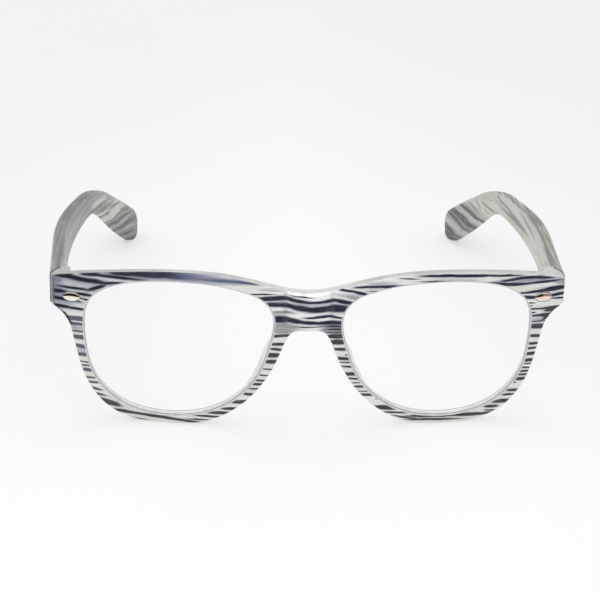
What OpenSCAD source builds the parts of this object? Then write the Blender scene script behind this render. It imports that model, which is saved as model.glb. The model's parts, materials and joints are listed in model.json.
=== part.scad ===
// Trapezoid eyeglasses: one moulded front, two lenses and two folding temples.
// Millimetres, +Z up. The wearer looks along -Y, so the temples run back along +Y.
// The glasses stand open on the plane z = 0, on the rim bottoms and the temple tips.

/* [Front] */
// Width across the two end pieces
front_width = 142; // [139:1:145]
// Height of the brow above the rim bottoms
front_height = 47.3; // [46.3:0.2:48.3]
// Thickness of the front from face to back
front_thickness = 3.2; // [3:0.1:3.5]
// Radius of the gentle bend of the front seen from above
front_bend_radius = 420; // [380:10:480]
// Forward lean of the front when the glasses stand open
front_lean = 4; // [3:0.5:5]
// How far the bridge swells forward of the face
bridge_swell = 1.3; // [0.8:0.1:1.6]
// How far the moulded nose pads reach behind the back of the front
pad_reach = 4.4; // [3.4:0.2:5.4]

/* [Lenses] */
// Thickness of each lens
lens_thickness = 1.8; // [1.6:0.1:2]
// Depth of the groove that holds a lens
groove_depth = 0.8; // [0.6:0.05:1]

/* [Temples] */
// Length of a temple along its centre line from the hinge end to the tip
temple_length = 145; // [141:1:149]
// Thickness of a temple seen from above
temple_thickness = 4.2; // [4:0.1:4.4]
// Height of a temple at its hinge end
temple_height = 9.8; // [9.6:0.1:10.2]
// Height of a temple at its slimmest
waist_height = 7; // [6.4:0.2:7.8]
// Height of the temple near its rounded tip
tip_height = 10.9; // [10.1:0.2:11.5]
// Angle of the bend behind the ear, measured from the straight part
tip_bend = 27.6; // [26:0.4:29.6]

/* [Hinges] */
// Radius of the hinge barrels
barrel_radius = 1.5; // [1.4:0.05:1.6]
// Radius of the hinge screw shank
screw_radius = 0.6; // [0.5:0.05:0.7]
// Height of one of the five hinge barrels
barrel_height = 1.5; // [1.4:0.05:1.55]

/* [Plaques] */
// Length of the pointed oval plaque on each end piece
plaque_length = 4.9; // [4.5:0.1:5.3]
// Width of the pointed oval plaque
plaque_width = 2.8; // [2.5:0.1:3]

/* [Hidden] */
$fn = 48;
// Scale of the hand-drawn outlines, which are 142 wide and 47.2 high
ku = front_width / 142;
kw = front_height / 47.2;
// Gap between faces that stay still against each other
seat_gap = 0.05;
// Gap in the joint between an end piece and its temple
joint_gap = 0.2;
// Radial clearance of the screw in the turning barrels
turning_clearance = 0.05;
// Gap between neighbouring barrels
barrel_gap = 0.1;
// Depth that the rims and tips are flattened where they stand
rest_flat = 0.12;
// How far the front is lowered so that the lowest edge of its face meets the table
front_drop = face_n(38 * ku) * sin(front_lean);
// Hinge axis: distance from the middle, and depth behind the face there
axis_u = 64.6 * ku;
axis_n = face_n(axis_u) + front_thickness + 4.4;
stack_height = 5 * barrel_height + 4 * barrel_gap;
stack_middle = 37.9 * kw;
stack_low = stack_middle - stack_height / 2;
// Lens seat: depths behind the face
lens_front = 1.0;
lens_back = lens_front + lens_thickness;
tongue_front = lens_front + 0.45;
tongue_back = lens_back - 0.45;
plaque_u = 65.25 * ku;
plaque_w = 38.4 * kw;
plaque_sink = 0.35;
plaque_rise = 0.45;
peg_radius = 0.5;
peg_length = 1.5;
leaf_thickness = 0.8;
// The temple line: straight from the hinge, then an arc, then straight to the tip
temple_start = 5;
temple_start_z = 39.77 * kw;
bend_start = 90;
bend_radius = 52;
temple_outer = 71.27 * ku;
bend_arc = bend_radius * tip_bend * PI / 180;
tip_round = tip_height * 0.36;
arm_end = temple_length - tip_round;
// Distances at which the temple starts to get slimmer, has reached its waist, and starts to widen to its tip
slim_from = 50;
waist_at = 96;
widen_from = bend_start + 9;
widen_to = arm_end - 4;
// Where the temple starts to get a little thinner seen from above
thin_from = 68;
// Where the temple starts to curve inward behind the ear
inward_from = 41;
// The slope below level at which the straight part has to leave for the tip to meet the table
temple_drop = drop_between(0, 20);
// Distances along the centre line at which the temple has its rings
arm_steps = concat([for (k = [0 : 17]) (bend_start - 5) * k / 17],
    [for (k = [0 : 13]) bend_start - 1.5 + (arm_end - bend_start) * k / 13],
    [for (k = [1 : 5]) arm_end + tip_round * sin(k * 17.6)]);
// The glasses are centred front to back between the bridge and the temple tips
swell_tilt = 5;
bridge_top = 41.9 * kw;
front_most = -bridge_top * sin(front_lean)
    - (bridge_swell + (bridge_top - 37 * kw) * tan(swell_tilt)) * cos(front_lean);
back_most = max([for (r = arm_rings()) max([for (p = r) p[1]])]);
middle_y = (front_most + back_most) / 2;

// Points of the half outline of the front, from the top of the bridge out and round to the notch
half_outline = [
    [0, 41.9], [5, 42.4], [11, 43.8], [17, 45.3], [24, 46.6], [33, 47.2],
    [43, 47.1], [53, 46.4], [61, 45.6], [66.5, 44.9], [69.9, 44.35], [70.75, 43.9],
    [71, 42.6], [71, 39.2], [70.8, 36.6], [70.1, 35.3], [68.7, 34.2], [67.2, 32.4],
    [65.8, 29.6], [64.7, 24.6], [63.1, 17.4], [60.9, 11.5], [57.2, 6.1], [52.3, 2.5],
    [45.8, 0.55], [38, 0], [31, 0.45], [24.6, 2.5], [18.7, 6.4], [14, 11.4],
    [10.2, 17.4], [7.7, 23.2], [6.2, 27.2], [4.6, 29.6], [2.6, 30.5], [0, 30.6]
];
// Points of the right lens opening, seen from the front
opening = [
    [9.6, 33], [10.2, 35.9], [11.8, 38.4], [14.6, 40.5], [19, 42.2], [24.5, 43.5],
    [30.5, 44.2], [37.5, 44.5], [44.5, 44.2], [50.8, 43.2], [55.8, 41.4], [59.4, 38.7],
    [61.2, 35.4], [61.8, 31], [61.5, 24.4], [60.4, 17.8], [58.1, 12.5], [54.4, 8.2],
    [49.4, 5], [43.3, 3.3], [36.5, 2.9], [29.4, 3.9], [22.8, 6.8], [17.4, 11.4],
    [13.6, 17], [11.3, 23.4], [9.9, 29]
];
// Plan of the turned-back block of the right end piece, before the seam is cut
block_plan = [
    [71.8, 4.6], [71.8, 11.35], [67.9, 11.3], [66.9, 11.2], [66.1, 10.7], [65.6, 9.9], [65.4, 8.9],
    [65.3, 7.2]
];
// Plan of the seam between the end piece and its temple, from the outer side to the inside
seam_plan = [[71.6, 7.3], [71.1, 8.1], [70.4, 9.2], [69.7, 10.2], [68.9, 10.9], [67.9, 11.3]];

// Catmull-Rom curve between b and c
function bend_curve(a, b, c, d, t) = 0.5 * (2 * b + (c - a) * t
    + (2 * a - 5 * b + 4 * c - d) * t * t + (3 * b - a - 3 * c + d) * t * t * t);
function closed_curve(p, n) = let (m = len(p))
    [for (i = [0 : m - 1]) for (k = [0 : n - 1])
        bend_curve(p[(i + m - 1) % m], p[i], p[(i + 1) % m], p[(i + 2) % m], k / n)];
function scaled(p) = [for (q = p) [q[0] * ku, q[1] * kw]];
function full_outline() = concat(half_outline,
    [for (i = [len(half_outline) - 2 : -1 : 1]) [-half_outline[i][0], half_outline[i][1]]]);
// Twice the signed area, positive for a counter-clockwise outline
function turn(p) = let (m = len(p)) sum([for (i = [0 : m - 1])
    p[i][0] * p[(i + 1) % m][1] - p[(i + 1) % m][0] * p[i][1]]);
function sum(v, i = 0) = i < len(v) ? v[i] + sum(v, i + 1) : 0;
// The closed outline p moved outward by d
function grown(p, d) = let (m = len(p), s = turn(p) > 0 ? 1 : -1)
    [for (i = [0 : m - 1]) let (
        t = p[(i + 1) % m] - p[(i + m - 1) % m], l = norm(t))
        [p[i][0] + s * d * t[1] / l, p[i][1] - s * d * t[0] / l]];
// Depth of the bent face behind its middle, at the distance u from the middle
function face_n(u) = front_bend_radius - sqrt(front_bend_radius * front_bend_radius - u * u);
function ease(t) = let (c = min(1, max(0, t))) c * c * (3 - 2 * c);

// The straight prism of an outline in the plane of the front
module prism(p, from = -4, to = 16) {
    translate([0, to, 0])
        rotate([90, 0, 0])
            linear_extrude(height = to - from)
                polygon(p);
}

// The layer of the bent front between two depths behind its face
module layer(a, b) {
    translate([0, front_bend_radius, -2])
        difference() {
            cylinder(r = front_bend_radius - a, h = front_height + 4, $fn = 720);
            translate([0, 0, -1])
                cylinder(r = front_bend_radius - b, h = front_height + 6, $fn = 720);
        }
}

// A plan outline raised between two heights
module raised(p, low, high) {
    translate([0, 0, low])
        linear_extrude(height = high - low)
            polygon(p);
}

// Places a part of the front where the leaning front stands
module leaning() {
    translate([0, -middle_y, -rest_flat - front_drop])
        rotate([front_lean, 0, 0])
            children();
}

module swell() {
    r = 14;
    translate([0, 0, 37 * kw])
        rotate([swell_tilt, 0, 0])
            translate([0, r - bridge_swell, -13])
                cylinder(r = r, h = 24, $fn = 180);
}

// Moulded nose pad on the back of one nasal bar, as rings from low to high
pad_low = 9.2;
pad_high = 29;
pad_rings = 13;
pad_sides = 11;
function bar_middle(w) = lookup(w, [[4.5, 24.2], [7, 20.4], [11.5, 15.7], [17, 11.9],
    [23.2, 9.5], [26, 8.6], [29.5, 7.4]]);
function pad_ring(k) = let (
    t = k / (pad_rings - 1),
    w = pad_low + (pad_high - pad_low) * t,
    full = pow(max(0, sin(180 * t)), 0.85),
    half = 0.7 + 0.8 * full,
    reach = 0.7 + (front_thickness - 2.2 + pad_reach) * full,
    u = bar_middle(w) * ku)
    [for (j = [0 : pad_sides - 1]) let (a = 180 * j / (pad_sides - 1))
        [u - half * cos(a) + 0.2 * reach * sin(a) * full,
            face_n(u) + 1.4 + reach * sin(a), w * kw]];

// Faces of a tube of rings, closed at both ends
function tube_faces(rings, sides) = concat(
    [for (k = [1 : sides - 2]) [0, k + 1, k]],
    [for (r = [0 : rings - 2]) for (k = [0 : sides - 1]) let (n = (k + 1) % sides)
        [r * sides + k, (r + 1) * sides + n, (r + 1) * sides + k]],
    [for (r = [0 : rings - 2]) for (k = [0 : sides - 1]) let (n = (k + 1) % sides)
        [r * sides + k, r * sides + n, (r + 1) * sides + n]],
    [for (k = [1 : sides - 2]) let (b = (rings - 1) * sides) [b, b + k, b + k + 1]]);

module nose_pad() {
    rings = [for (k = [0 : pad_rings - 1]) pad_ring(k)];
    polyhedron(
        points = [for (r = rings) for (p = r) p],
        faces = tube_faces(pad_rings, pad_sides), convexity = 4);
}

// Everything that is cut from the right half of the front
module right_cuts() {
    hole = closed_curve(scaled(opening), 3);
    intersection() {
        prism(hole);
        layer(-3, front_thickness + 0.03);
    }
    intersection() {
        prism(grown(hole, groove_depth));
        layer(tongue_front - seat_gap, tongue_back + seat_gap);
    }
    plaque_cut();
    leaf_bed();
    seam_cut();
}

module front_frame() {
    color([0.80, 0.81, 0.78])
        difference() {
            leaning()
                difference() {
                    union() {
                        intersection() {
                            prism(closed_curve(scaled(full_outline()), 3));
                            union() {
                                layer(0, front_thickness);
                                swell_part();
                                block();
                                mirror([1, 0, 0])
                                    block();
                            }
                        }
                        nose_pad();
                        mirror([1, 0, 0])
                            nose_pad();
                    }
                    right_cuts();
                    mirror([1, 0, 0])
                        right_cuts();
                }
            translate([-100, -100, -10])
                cube([200, 200, 10]);
        }
}

module swell_part() {
    intersection() {
        swell();
        translate([0, front_bend_radius, 0])
            cylinder(r = front_bend_radius + 4, h = front_height + 4, $fn = 720);
        translate([-10, -4, 26])
            cube([20, 4.6 + front_thickness / 2, 24]);
    }
}

module block() {
    raised(scaled_plan(block_plan), 20, front_height + 4);
}
module seam_cut() {
    raised(scaled_plan(concat([[78, 7.3]], seam_plan, [[67.5, 11.55], [67.5, 18], [78, 18]])),
        10, front_height + 12);
}
// A plan that keeps its depth behind the face when the front changes
function scaled_plan(p) = [for (q = p)
    [q[0] * ku, q[1] - 6 + face_n(71 * ku) + (front_thickness - 3.2)]];

// Bed for the front leaf of the hinge in the back of the front
leaf_w0 = stack_low;
leaf_w1 = stack_low + stack_height;
leaf_u0 = axis_u - 2.5;
leaf_u1 = axis_u + 0.5;
leaf_back = face_n(axis_u - 1) + front_thickness + 0.2;
module leaf_bed() {
    translate([leaf_u0 - seat_gap, leaf_back - leaf_thickness - 0.2, leaf_w0 - seat_gap])
        cube([leaf_u1 - leaf_u0 + 2 * seat_gap, 3, leaf_w1 - leaf_w0 + 2 * seat_gap]);
}

// Barrel number k counted from below
function barrel_low(k) = stack_low + k * (barrel_height + barrel_gap);

module front_leaf() {
    difference() {
        union() {
            translate([leaf_u0, leaf_back - leaf_thickness - 0.15, leaf_w0])
                cube([leaf_u1 - leaf_u0, leaf_thickness + 0.15, leaf_w1 - leaf_w0]);
            for (k = [0, 2, 4])
                translate([axis_u, axis_n, barrel_low(k)]) {
                    cylinder(r = barrel_radius, h = barrel_height);
                    translate([-barrel_radius, leaf_back - axis_n - leaf_thickness / 2, 0])
                        cube([barrel_radius + 0.3, axis_n - leaf_back + leaf_thickness / 2, barrel_height]);
                }
        }
        translate([axis_u, axis_n, stack_low - 1])
            cylinder(r = screw_radius + 0.01, h = stack_height + 2);
        translate([axis_u, axis_n, stack_low + stack_height - 0.35])
            cylinder(r = screw_radius + 0.45, h = 1);
    }
}

// Plate of the temple leaf, let into the inner side of the temple
plate_u = temple_outer - temple_thickness + 0.75;
plate_n0 = axis_n + 1.2;
plate_n1 = axis_n + 7.6;
module temple_leaf() {
    difference() {
        union() {
            translate([plate_u - 0.95, plate_n0, leaf_w0 + 0.3])
                cube([0.95, plate_n1 - plate_n0, leaf_w1 - leaf_w0 - 0.6]);
            for (k = [1, 3])
                translate([axis_u, axis_n, barrel_low(k)]) {
                    cylinder(r = barrel_radius, h = barrel_height);
                    translate([0, -0.3, 0])
                        cube([plate_u - axis_u - 0.3, barrel_radius + 0.3, barrel_height]);
                    translate([plate_u - axis_u - 0.95, 0, 0])
                        cube([0.65, 2, barrel_height]);
                }
        }
        translate([axis_u, axis_n, stack_low - 1])
            cylinder(r = screw_radius + turning_clearance, h = stack_height + 2);
    }
}

module hinge_screw() {
    difference() {
        translate([axis_u, axis_n, 0])
            union() {
                translate([0, 0, stack_low + 0.1])
                    cylinder(r = screw_radius, h = stack_height - 0.2);
                translate([0, 0, stack_low + stack_height - 0.33])
                    cylinder(r = screw_radius + 0.4, h = 0.65);
            }
        translate([axis_u - 3, axis_n - 0.15, stack_low + stack_height + 0.07])
            cube([6, 0.3, 1]);
    }
}

// Pointed oval of two arcs, standing on the face at the plaque's place
module oval(length, width, low, high) {
    r = (length * length + width * width) / (4 * width);
    for_face()
        intersection() {
            translate([0, 0, r - width / 2])
                rotate([90, 0, 0])
                    translate([0, 0, -high])
                        cylinder(r = r, h = high - low, $fn = 144);
            translate([0, 0, width / 2 - r])
                rotate([90, 0, 0])
                    translate([0, 0, -high])
                        cylinder(r = r, h = high - low, $fn = 144);
        }
}
module for_face() {
    translate([plaque_u, face_n(plaque_u), plaque_w])
        rotate([0, 0, asin(plaque_u / front_bend_radius)])
            children();
}
module plaque_cut() {
    oval(plaque_length + 2 * seat_gap, plaque_width + 2 * seat_gap, -2, plaque_sink + 0.01);
    for_face()
        for (s = [-1, 1])
            translate([s * 1.3, 0, 0])
                rotate([-90, 0, 0])
                    cylinder(r = peg_radius + 0.03, h = plaque_sink + peg_length + 0.05);
}
module plaque() {
    dome = 7;
    union() {
        intersection() {
            oval(plaque_length, plaque_width, -plaque_rise, plaque_sink);
            for_face()
                translate([0, dome - plaque_rise, 0])
                    sphere(r = dome, $fn = 120);
        }
        for_face()
            for (s = [-1, 1])
                translate([s * 1.3, 0.1, 0])
                    rotate([-90, 0, 0])
                        cylinder(r = peg_radius, h = plaque_sink + peg_length - 0.1);
    }
}

module lens() {
    hole = closed_curve(scaled(opening), 3);
    union() {
        intersection() {
            prism(grown(hole, -0.08));
            layer(lens_front, lens_back);
        }
        intersection() {
            prism(grown(hole, groove_depth - 0.1));
            layer(tongue_front, tongue_back);
        }
    }
}

// Lowest point of a temple whose straight part slopes down by the angle d
function lowest_at(d) = temple_start_z - bend_start * sin(d)
    - bend_radius * (cos(d) - cos(d + tip_bend))
    - (arm_end - bend_start - bend_arc) * sin(d + tip_bend)
    - norm([tip_round * sin(d + tip_bend), tip_height / 2 * cos(d + tip_bend)]);
// Halves the range between two slopes until the lowest point is on the table
function drop_between(low, high, n = 24) = let (mid = (low + high) / 2)
    n == 0 ? mid
    : lowest_at(mid) > 0 ? drop_between(mid, high, n - 1)
    : drop_between(low, mid, n - 1);

// The temple as rings along its centre line; s is the distance from the hinge end
function line_angle(s) = temple_drop + (s < bend_start ? 0
    : min(tip_bend, (s - bend_start) / bend_radius * 180 / PI));
function line_y(s) = temple_start + (s < bend_start ? s * cos(temple_drop)
    : bend_start * cos(temple_drop) + bend_radius * (sin(line_angle(s)) - sin(temple_drop))
    + max(0, s - bend_start - bend_arc) * cos(temple_drop + tip_bend));
function line_z(s) = temple_start_z - (s < bend_start ? s * sin(temple_drop)
    : bend_start * sin(temple_drop) + bend_radius * (cos(temple_drop) - cos(line_angle(s)))
    + max(0, s - bend_start - bend_arc) * sin(temple_drop + tip_bend));
function outer_x(y) = temple_outer + 0.039 * (y - temple_start)
    - 0.0021 * pow(max(0, y - inward_from), 2);
// How much of the rounded tip's half circle is left at s
function tip_share(s) = sqrt(max(0.0004, 1 - pow((s - arm_end) / tip_round, 2)));
function height_at(s) = s < arm_end ? temple_height
        + (waist_height - temple_height) * ease((s - slim_from) / (waist_at - slim_from))
        + (tip_height - waist_height) * ease((s - widen_from) / (widen_to - widen_from))
    : tip_height * tip_share(s);
function ring_at(s) = let (
    a = line_angle(s), h = height_at(s), y = line_y(s), z = line_z(s),
    full = temple_thickness - 0.4 * ease((s - thin_from) / 72),
    t = s < arm_end ? full : min(full, 0.5 * h + 1.3 * tip_share(s)),
    c = min(1.25, t * 0.46, h * 0.46), m = outer_x(y) - temple_thickness / 2)
    [for (q = [[1, 1, 0], [-1, 1, 90], [-1, -1, 180], [1, -1, 270]]) for (k = [0 : 3]) let (
        b = q[2] + 15 + 20 * k,
        x = q[0] * (t / 2 - c) + c * cos(b),
        v = q[1] * (h / 2 - c) + c * sin(b))
        [m + x, y + v * sin(a), z + v * cos(a)]];
function arm_rings() = [for (s = arm_steps) ring_at(s)];

module arm() {
    rings = arm_rings();
    polyhedron(
        points = [for (r = rings) for (p = r) p],
        faces = tube_faces(len(rings), 16), convexity = 6);
}

module temple() {
    difference() {
        translate([0, -middle_y, -rest_flat])
            arm();
        leaning()
            raised(grown(scaled_plan(block_room), joint_gap), 10, front_height + 12);
        leaning()
            translate([axis_u - 6, axis_n - 3, leaf_w0 + 0.3 - seat_gap])
                cube([plate_u + seat_gap - axis_u + 6, plate_n1 + seat_gap - axis_n + 3,
                    leaf_w1 - leaf_w0 - 0.6 + 2 * seat_gap]);
        leaning()
            translate([axis_u, axis_n, stack_low - 1])
                cylinder(r = barrel_radius + 0.4, h = stack_height + 2);
        translate([-100, -100, -10])
            cube([200, 200, 10]);
    }
}
// Plan of the room that the temple leaves for the block, open to the front
block_room = concat([[60, -8], [78, -8], [78, 6.9]], seam_plan,
    [for (i = [3 : len(block_plan) - 1]) block_plan[i]], [[60, 7.2]]);

module right_of(side) {
    if (side > 0)
        children();
    else
        mirror([1, 0, 0])
            children();
}

module lens_left() {
    color([0.86, 0.92, 0.94, 0.35])
        leaning()
            right_of(-1)
                lens();
}
module lens_right() {
    color([0.86, 0.92, 0.94, 0.35])
        leaning()
            right_of(1)
                lens();
}
module temple_left() {
    color([0.72, 0.73, 0.70])
        right_of(-1)
            temple();
}
module temple_right() {
    color([0.72, 0.73, 0.70])
        right_of(1)
            temple();
}
module front_leaf_left() {
    color([0.70, 0.70, 0.72])
        leaning()
            right_of(-1)
                front_leaf();
}
module front_leaf_right() {
    color([0.70, 0.70, 0.72])
        leaning()
            right_of(1)
                front_leaf();
}
module temple_leaf_left() {
    color([0.66, 0.66, 0.68])
        leaning()
            right_of(-1)
                temple_leaf();
}
module temple_leaf_right() {
    color([0.66, 0.66, 0.68])
        leaning()
            right_of(1)
                temple_leaf();
}
module hinge_screw_left() {
    color([0.60, 0.60, 0.62])
        leaning()
            right_of(-1)
                hinge_screw();
}
module hinge_screw_right() {
    color([0.60, 0.60, 0.62])
        leaning()
            right_of(1)
                hinge_screw();
}
module plaque_left() {
    color([0.85, 0.76, 0.66])
        leaning()
            right_of(-1)
                plaque();
}
module plaque_right() {
    color([0.85, 0.76, 0.66])
        leaning()
            right_of(1)
                plaque();
}

front_frame();
lens_left();
lens_right();
temple_left();
temple_right();
front_leaf_left();
front_leaf_right();
temple_leaf_left();
temple_leaf_right();
hinge_screw_left();
hinge_screw_right();
plaque_left();
plaque_right();
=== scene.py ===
"""Trapezoid eyeglasses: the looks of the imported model, laid out as an add-on and run as a script."""

import json
import math

import bmesh
import bpy
from mathutils import Matrix, Vector


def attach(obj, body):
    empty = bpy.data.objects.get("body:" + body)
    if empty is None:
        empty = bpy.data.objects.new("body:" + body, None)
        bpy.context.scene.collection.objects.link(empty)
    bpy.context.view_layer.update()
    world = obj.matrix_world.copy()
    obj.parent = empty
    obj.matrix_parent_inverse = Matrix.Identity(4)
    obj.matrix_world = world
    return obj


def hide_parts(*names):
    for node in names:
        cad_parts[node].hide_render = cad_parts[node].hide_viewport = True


bl_info = {
    "name": "Trapezoid eyeglasses",
    "version": (1, 0, 0),
    "blender": (4, 5, 0),
    "location": "View3D > Sidebar > Eyeglasses",
    "description": "Dresses the packed eyeglasses in streaked plastic, clear lenses and metal hinges",
    "category": "Add Mesh",
}

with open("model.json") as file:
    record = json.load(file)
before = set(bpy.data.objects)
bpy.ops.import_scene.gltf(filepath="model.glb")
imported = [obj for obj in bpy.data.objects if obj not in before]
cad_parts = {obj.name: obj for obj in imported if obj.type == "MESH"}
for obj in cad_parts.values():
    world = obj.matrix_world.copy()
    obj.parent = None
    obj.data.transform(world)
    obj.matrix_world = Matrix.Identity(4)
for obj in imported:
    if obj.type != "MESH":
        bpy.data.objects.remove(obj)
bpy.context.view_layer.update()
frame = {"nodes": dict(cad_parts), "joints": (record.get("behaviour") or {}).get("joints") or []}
MM = 0.001

# Sizes of the front in millimetres: its forward lean, its bend seen from above and its thickness
LEAN = math.radians(4)
BEND_RADIUS = 420.0
THICKNESS = 3.2
# Height of the front over the height that the outlines below are drawn with
TALL = 47.3 / 47.2
# The right hinge: distance from the middle, depth behind the back of the front, and height
PIN_U = 64.6
PIN_BEHIND = 4.4
PIN_N = BEND_RADIUS - math.sqrt(BEND_RADIUS**2 - PIN_U**2) + THICKNESS + PIN_BEHIND
PIN_W = 37.9 * TALL
# The frame's own place of that hinge says where the front stands
PIN = next(j["pos_m"] for j in frame["joints"] if j["name"] == "right_hinge")
SHIFT_Y = PIN[1] / MM - (PIN_N * math.cos(LEAN) - PIN_W * math.sin(LEAN))
SHIFT_Z = PIN[2] / MM - (PIN_N * math.sin(LEAN) + PIN_W * math.cos(LEAN))

# Half outline of the front from the top of the bridge out and round to its underside, in millimetres
HALF_OUTLINE = [
    (0, 41.9), (5, 42.4), (11, 43.8), (17, 45.3), (24, 46.6), (33, 47.2),
    (43, 47.1), (53, 46.4), (61, 45.6), (66.5, 44.9), (69.9, 44.35), (70.75, 43.9),
    (71, 42.6), (71, 39.2), (70.8, 36.6), (70.1, 35.3), (68.7, 34.2), (67.2, 32.4),
    (65.8, 29.6), (64.7, 24.6), (63.1, 17.4), (60.9, 11.5), (57.2, 6.1), (52.3, 2.5),
    (45.8, 0.55), (38, 0), (31, 0.45), (24.6, 2.5), (18.7, 6.4), (14, 11.4),
    (10.2, 17.4), (7.7, 23.2), (6.2, 27.2), (4.6, 29.6), (2.6, 30.5), (0, 30.6),
]
# The right lens opening, seen from the front
OPENING = [
    (9.6, 33), (10.2, 35.9), (11.8, 38.4), (14.6, 40.5), (19, 42.2), (24.5, 43.5),
    (30.5, 44.2), (37.5, 44.5), (44.5, 44.2), (50.8, 43.2), (55.8, 41.4), (59.4, 38.7),
    (61.2, 35.4), (61.8, 31), (61.5, 24.4), (60.4, 17.8), (58.1, 12.5), (54.4, 8.2),
    (49.4, 5), (43.3, 3.3), (36.5, 2.9), (29.4, 3.9), (22.8, 6.8), (17.4, 11.4),
    (13.6, 17), (11.3, 23.4), (9.9, 29),
]
# Which place of the opening faces a place of the outline
FACING = [
    (0, 2), (2, 3), (3, 4), (4, 5), (5, 6.3), (6, 7.8), (7, 9.3), (8, 10.2), (9, 10.7), (11, 11.1),
    (13, 11.8), (15, 12.3), (17, 12.8), (18, 13.2), (19, 14), (20, 15), (21, 16), (22, 17.1),
    (23, 18.1), (24, 18.9), (25, 19.8), (26, 20.8), (27, 21.8), (28, 22.7), (29, 23.4),
    (30, 24.15), (31, 25), (32, 25.7), (33, 26.1), (35, 26.6), (36, 29),
]
# Plan of the seam between an end piece and its temple: distance from the middle, depth
SEAM = [
    (65.2, 6.6), (65.35, 8.2), (65.6, 9.9), (66.1, 10.7), (66.9, 11.2), (67.9, 11.3), (68.9, 10.9),
    (69.7, 10.2), (70.4, 9.2), (71.1, 8.1), (71.6, 7.3), (72.4, 6.0),
]


def lerp(a, b, t):
    return a + (b - a) * t


def table(points, x):
    """Straight-line reading of a table of (x, y) pairs."""
    if x <= points[0][0]:
        return points[0][1]
    for (x0, y0), (x1, y1) in zip(points, points[1:]):
        if x <= x1:
            return lerp(y0, y1, (x - x0) / (x1 - x0))
    return points[-1][1]


def ease(t):
    t = min(1.0, max(0.0, t))
    return t * t * (3 - 2 * t)


def along(points, t):
    """Point at place t of a closed smooth curve through the points."""
    count = len(points)
    i = math.floor(t)
    f = t - i
    a, b, c, d = (points[(i + k) % count] for k in (-1, 0, 1, 2))
    return tuple(
        0.5 * (2 * b[q] + (c[q] - a[q]) * f + (2 * a[q] - 5 * b[q] + 4 * c[q] - d[q]) * f * f
               + (3 * b[q] - a[q] - 3 * c[q] + d[q]) * f**3)
        for q in (0, 1)
    )


FULL_OUTLINE = HALF_OUTLINE + [(-u, w) for u, w in HALF_OUTLINE[-2:0:-1]]


def outline_at(t):
    return along(FULL_OUTLINE, t)


def opening_at(t):
    return along(OPENING, t)


def normal_at(curve, t):
    """Unit normal of a curve at t: out of the front, or into it from the opening."""
    (u0, w0), (u1, w1) = curve(t - 0.02), curve(t + 0.02)
    du, dw = u1 - u0, w1 - w0
    size = math.hypot(du, dw)
    return (-dw / size, du / size)


def face_n(u):
    """Depth of the bent face behind its middle."""
    return BEND_RADIUS - math.sqrt(BEND_RADIUS**2 - u * u)


# The bridge's round: its radius seen from above, its tilt, and the height at which its swell is told
SWELL_RADIUS = 14.0
SWELL_TILT = math.radians(5)
SWELL_LEVEL = 37
# Width of the soft blend between the round and the face
SWELL_BLEND = 0.1
# Stands for a depth or a distance that is too great to matter
FAR = 99.0


def swell_n(u, w, swell):
    """Depth of the round that swells forward at the bridge."""
    if abs(u) >= SWELL_RADIUS - 0.5:
        return FAR
    ahead = (SWELL_RADIUS - swell) - math.sqrt(SWELL_RADIUS**2 - u * u)
    return (ahead - (w / TALL - SWELL_LEVEL) * math.sin(SWELL_TILT)) / math.cos(SWELL_TILT)


def front_n(u, w, swell):
    """Depth of the front's face, with the bridge's round let into it."""
    a, b = face_n(u), swell_n(u, w, swell)
    h = min(1.0, max(0.0, 0.5 + 0.5 * (b - a) / SWELL_BLEND))
    return lerp(b, a, h) - SWELL_BLEND * h * (1 - h)


def crease_u(w, swell):
    """Distance from the middle at which the bridge's round meets the face."""
    low, high = 1.0, 12.0
    for _ in range(20):
        mid = (low + high) / 2
        if swell_n(mid, w, swell) < face_n(mid):
            low = mid
        else:
            high = mid
    return low


def on_front(u, n, w):
    """World place, in metres, of a place on the leaning front."""
    return (
        u * MM,
        (n * math.cos(LEAN) - w * math.sin(LEAN) + SHIFT_Y) * MM,
        (n * math.sin(LEAN) + w * math.cos(LEAN) + SHIFT_Z) * MM,
    )


class Shell:
    """Collects points and faces of one mesh, with a material number for each face."""

    def __init__(self):
        self.points = []
        self.faces = []
        self.slots = []

    def ring(self, places):
        start = len(self.points)
        self.points.extend(places)
        return list(range(start, len(self.points)))

    def strip(self, a, b, slot=0, closed=True):
        count = len(a)
        for i in range(count if closed else count - 1):
            j = (i + 1) % count
            self.faces.append((a[i], a[j], b[j], b[i]))
            self.slots.append(slot)

    def cap(self, ring, slot=0):
        self.faces.append(tuple(ring))
        self.slots.append(slot)

    def mirror(self):
        """Adds the other half, across the plane between the two lenses."""
        shift = len(self.points)
        self.points += [(-x, y, z) for x, y, z in self.points]
        self.faces += [tuple(i + shift for i in reversed(f)) for f in list(self.faces)]
        self.slots += list(self.slots)

    def build(self, name, materials, sharp):
        """Makes the piece: smooth, but for the edges that turn by more than the sharp angle."""
        mesh = bpy.data.meshes.new(name)
        mesh.from_pydata(self.points, [], self.faces)
        for material in materials:
            mesh.materials.append(material)
        for face, slot in zip(mesh.polygons, self.slots):
            face.material_index = slot
        work = bmesh.new()
        work.from_mesh(mesh)
        bmesh.ops.remove_doubles(work, verts=work.verts, dist=2e-6)
        bmesh.ops.dissolve_degenerate(work, edges=work.edges, dist=1e-7)
        bmesh.ops.recalc_face_normals(work, faces=work.faces)
        work.to_mesh(mesh)
        work.free()
        mesh.shade_smooth()
        mesh.set_sharp_from_angle(angle=math.radians(sharp))
        piece = bpy.data.objects.new(name, mesh)
        bpy.context.scene.collection.objects.link(piece)
        return piece


# Shader nodes


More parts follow.
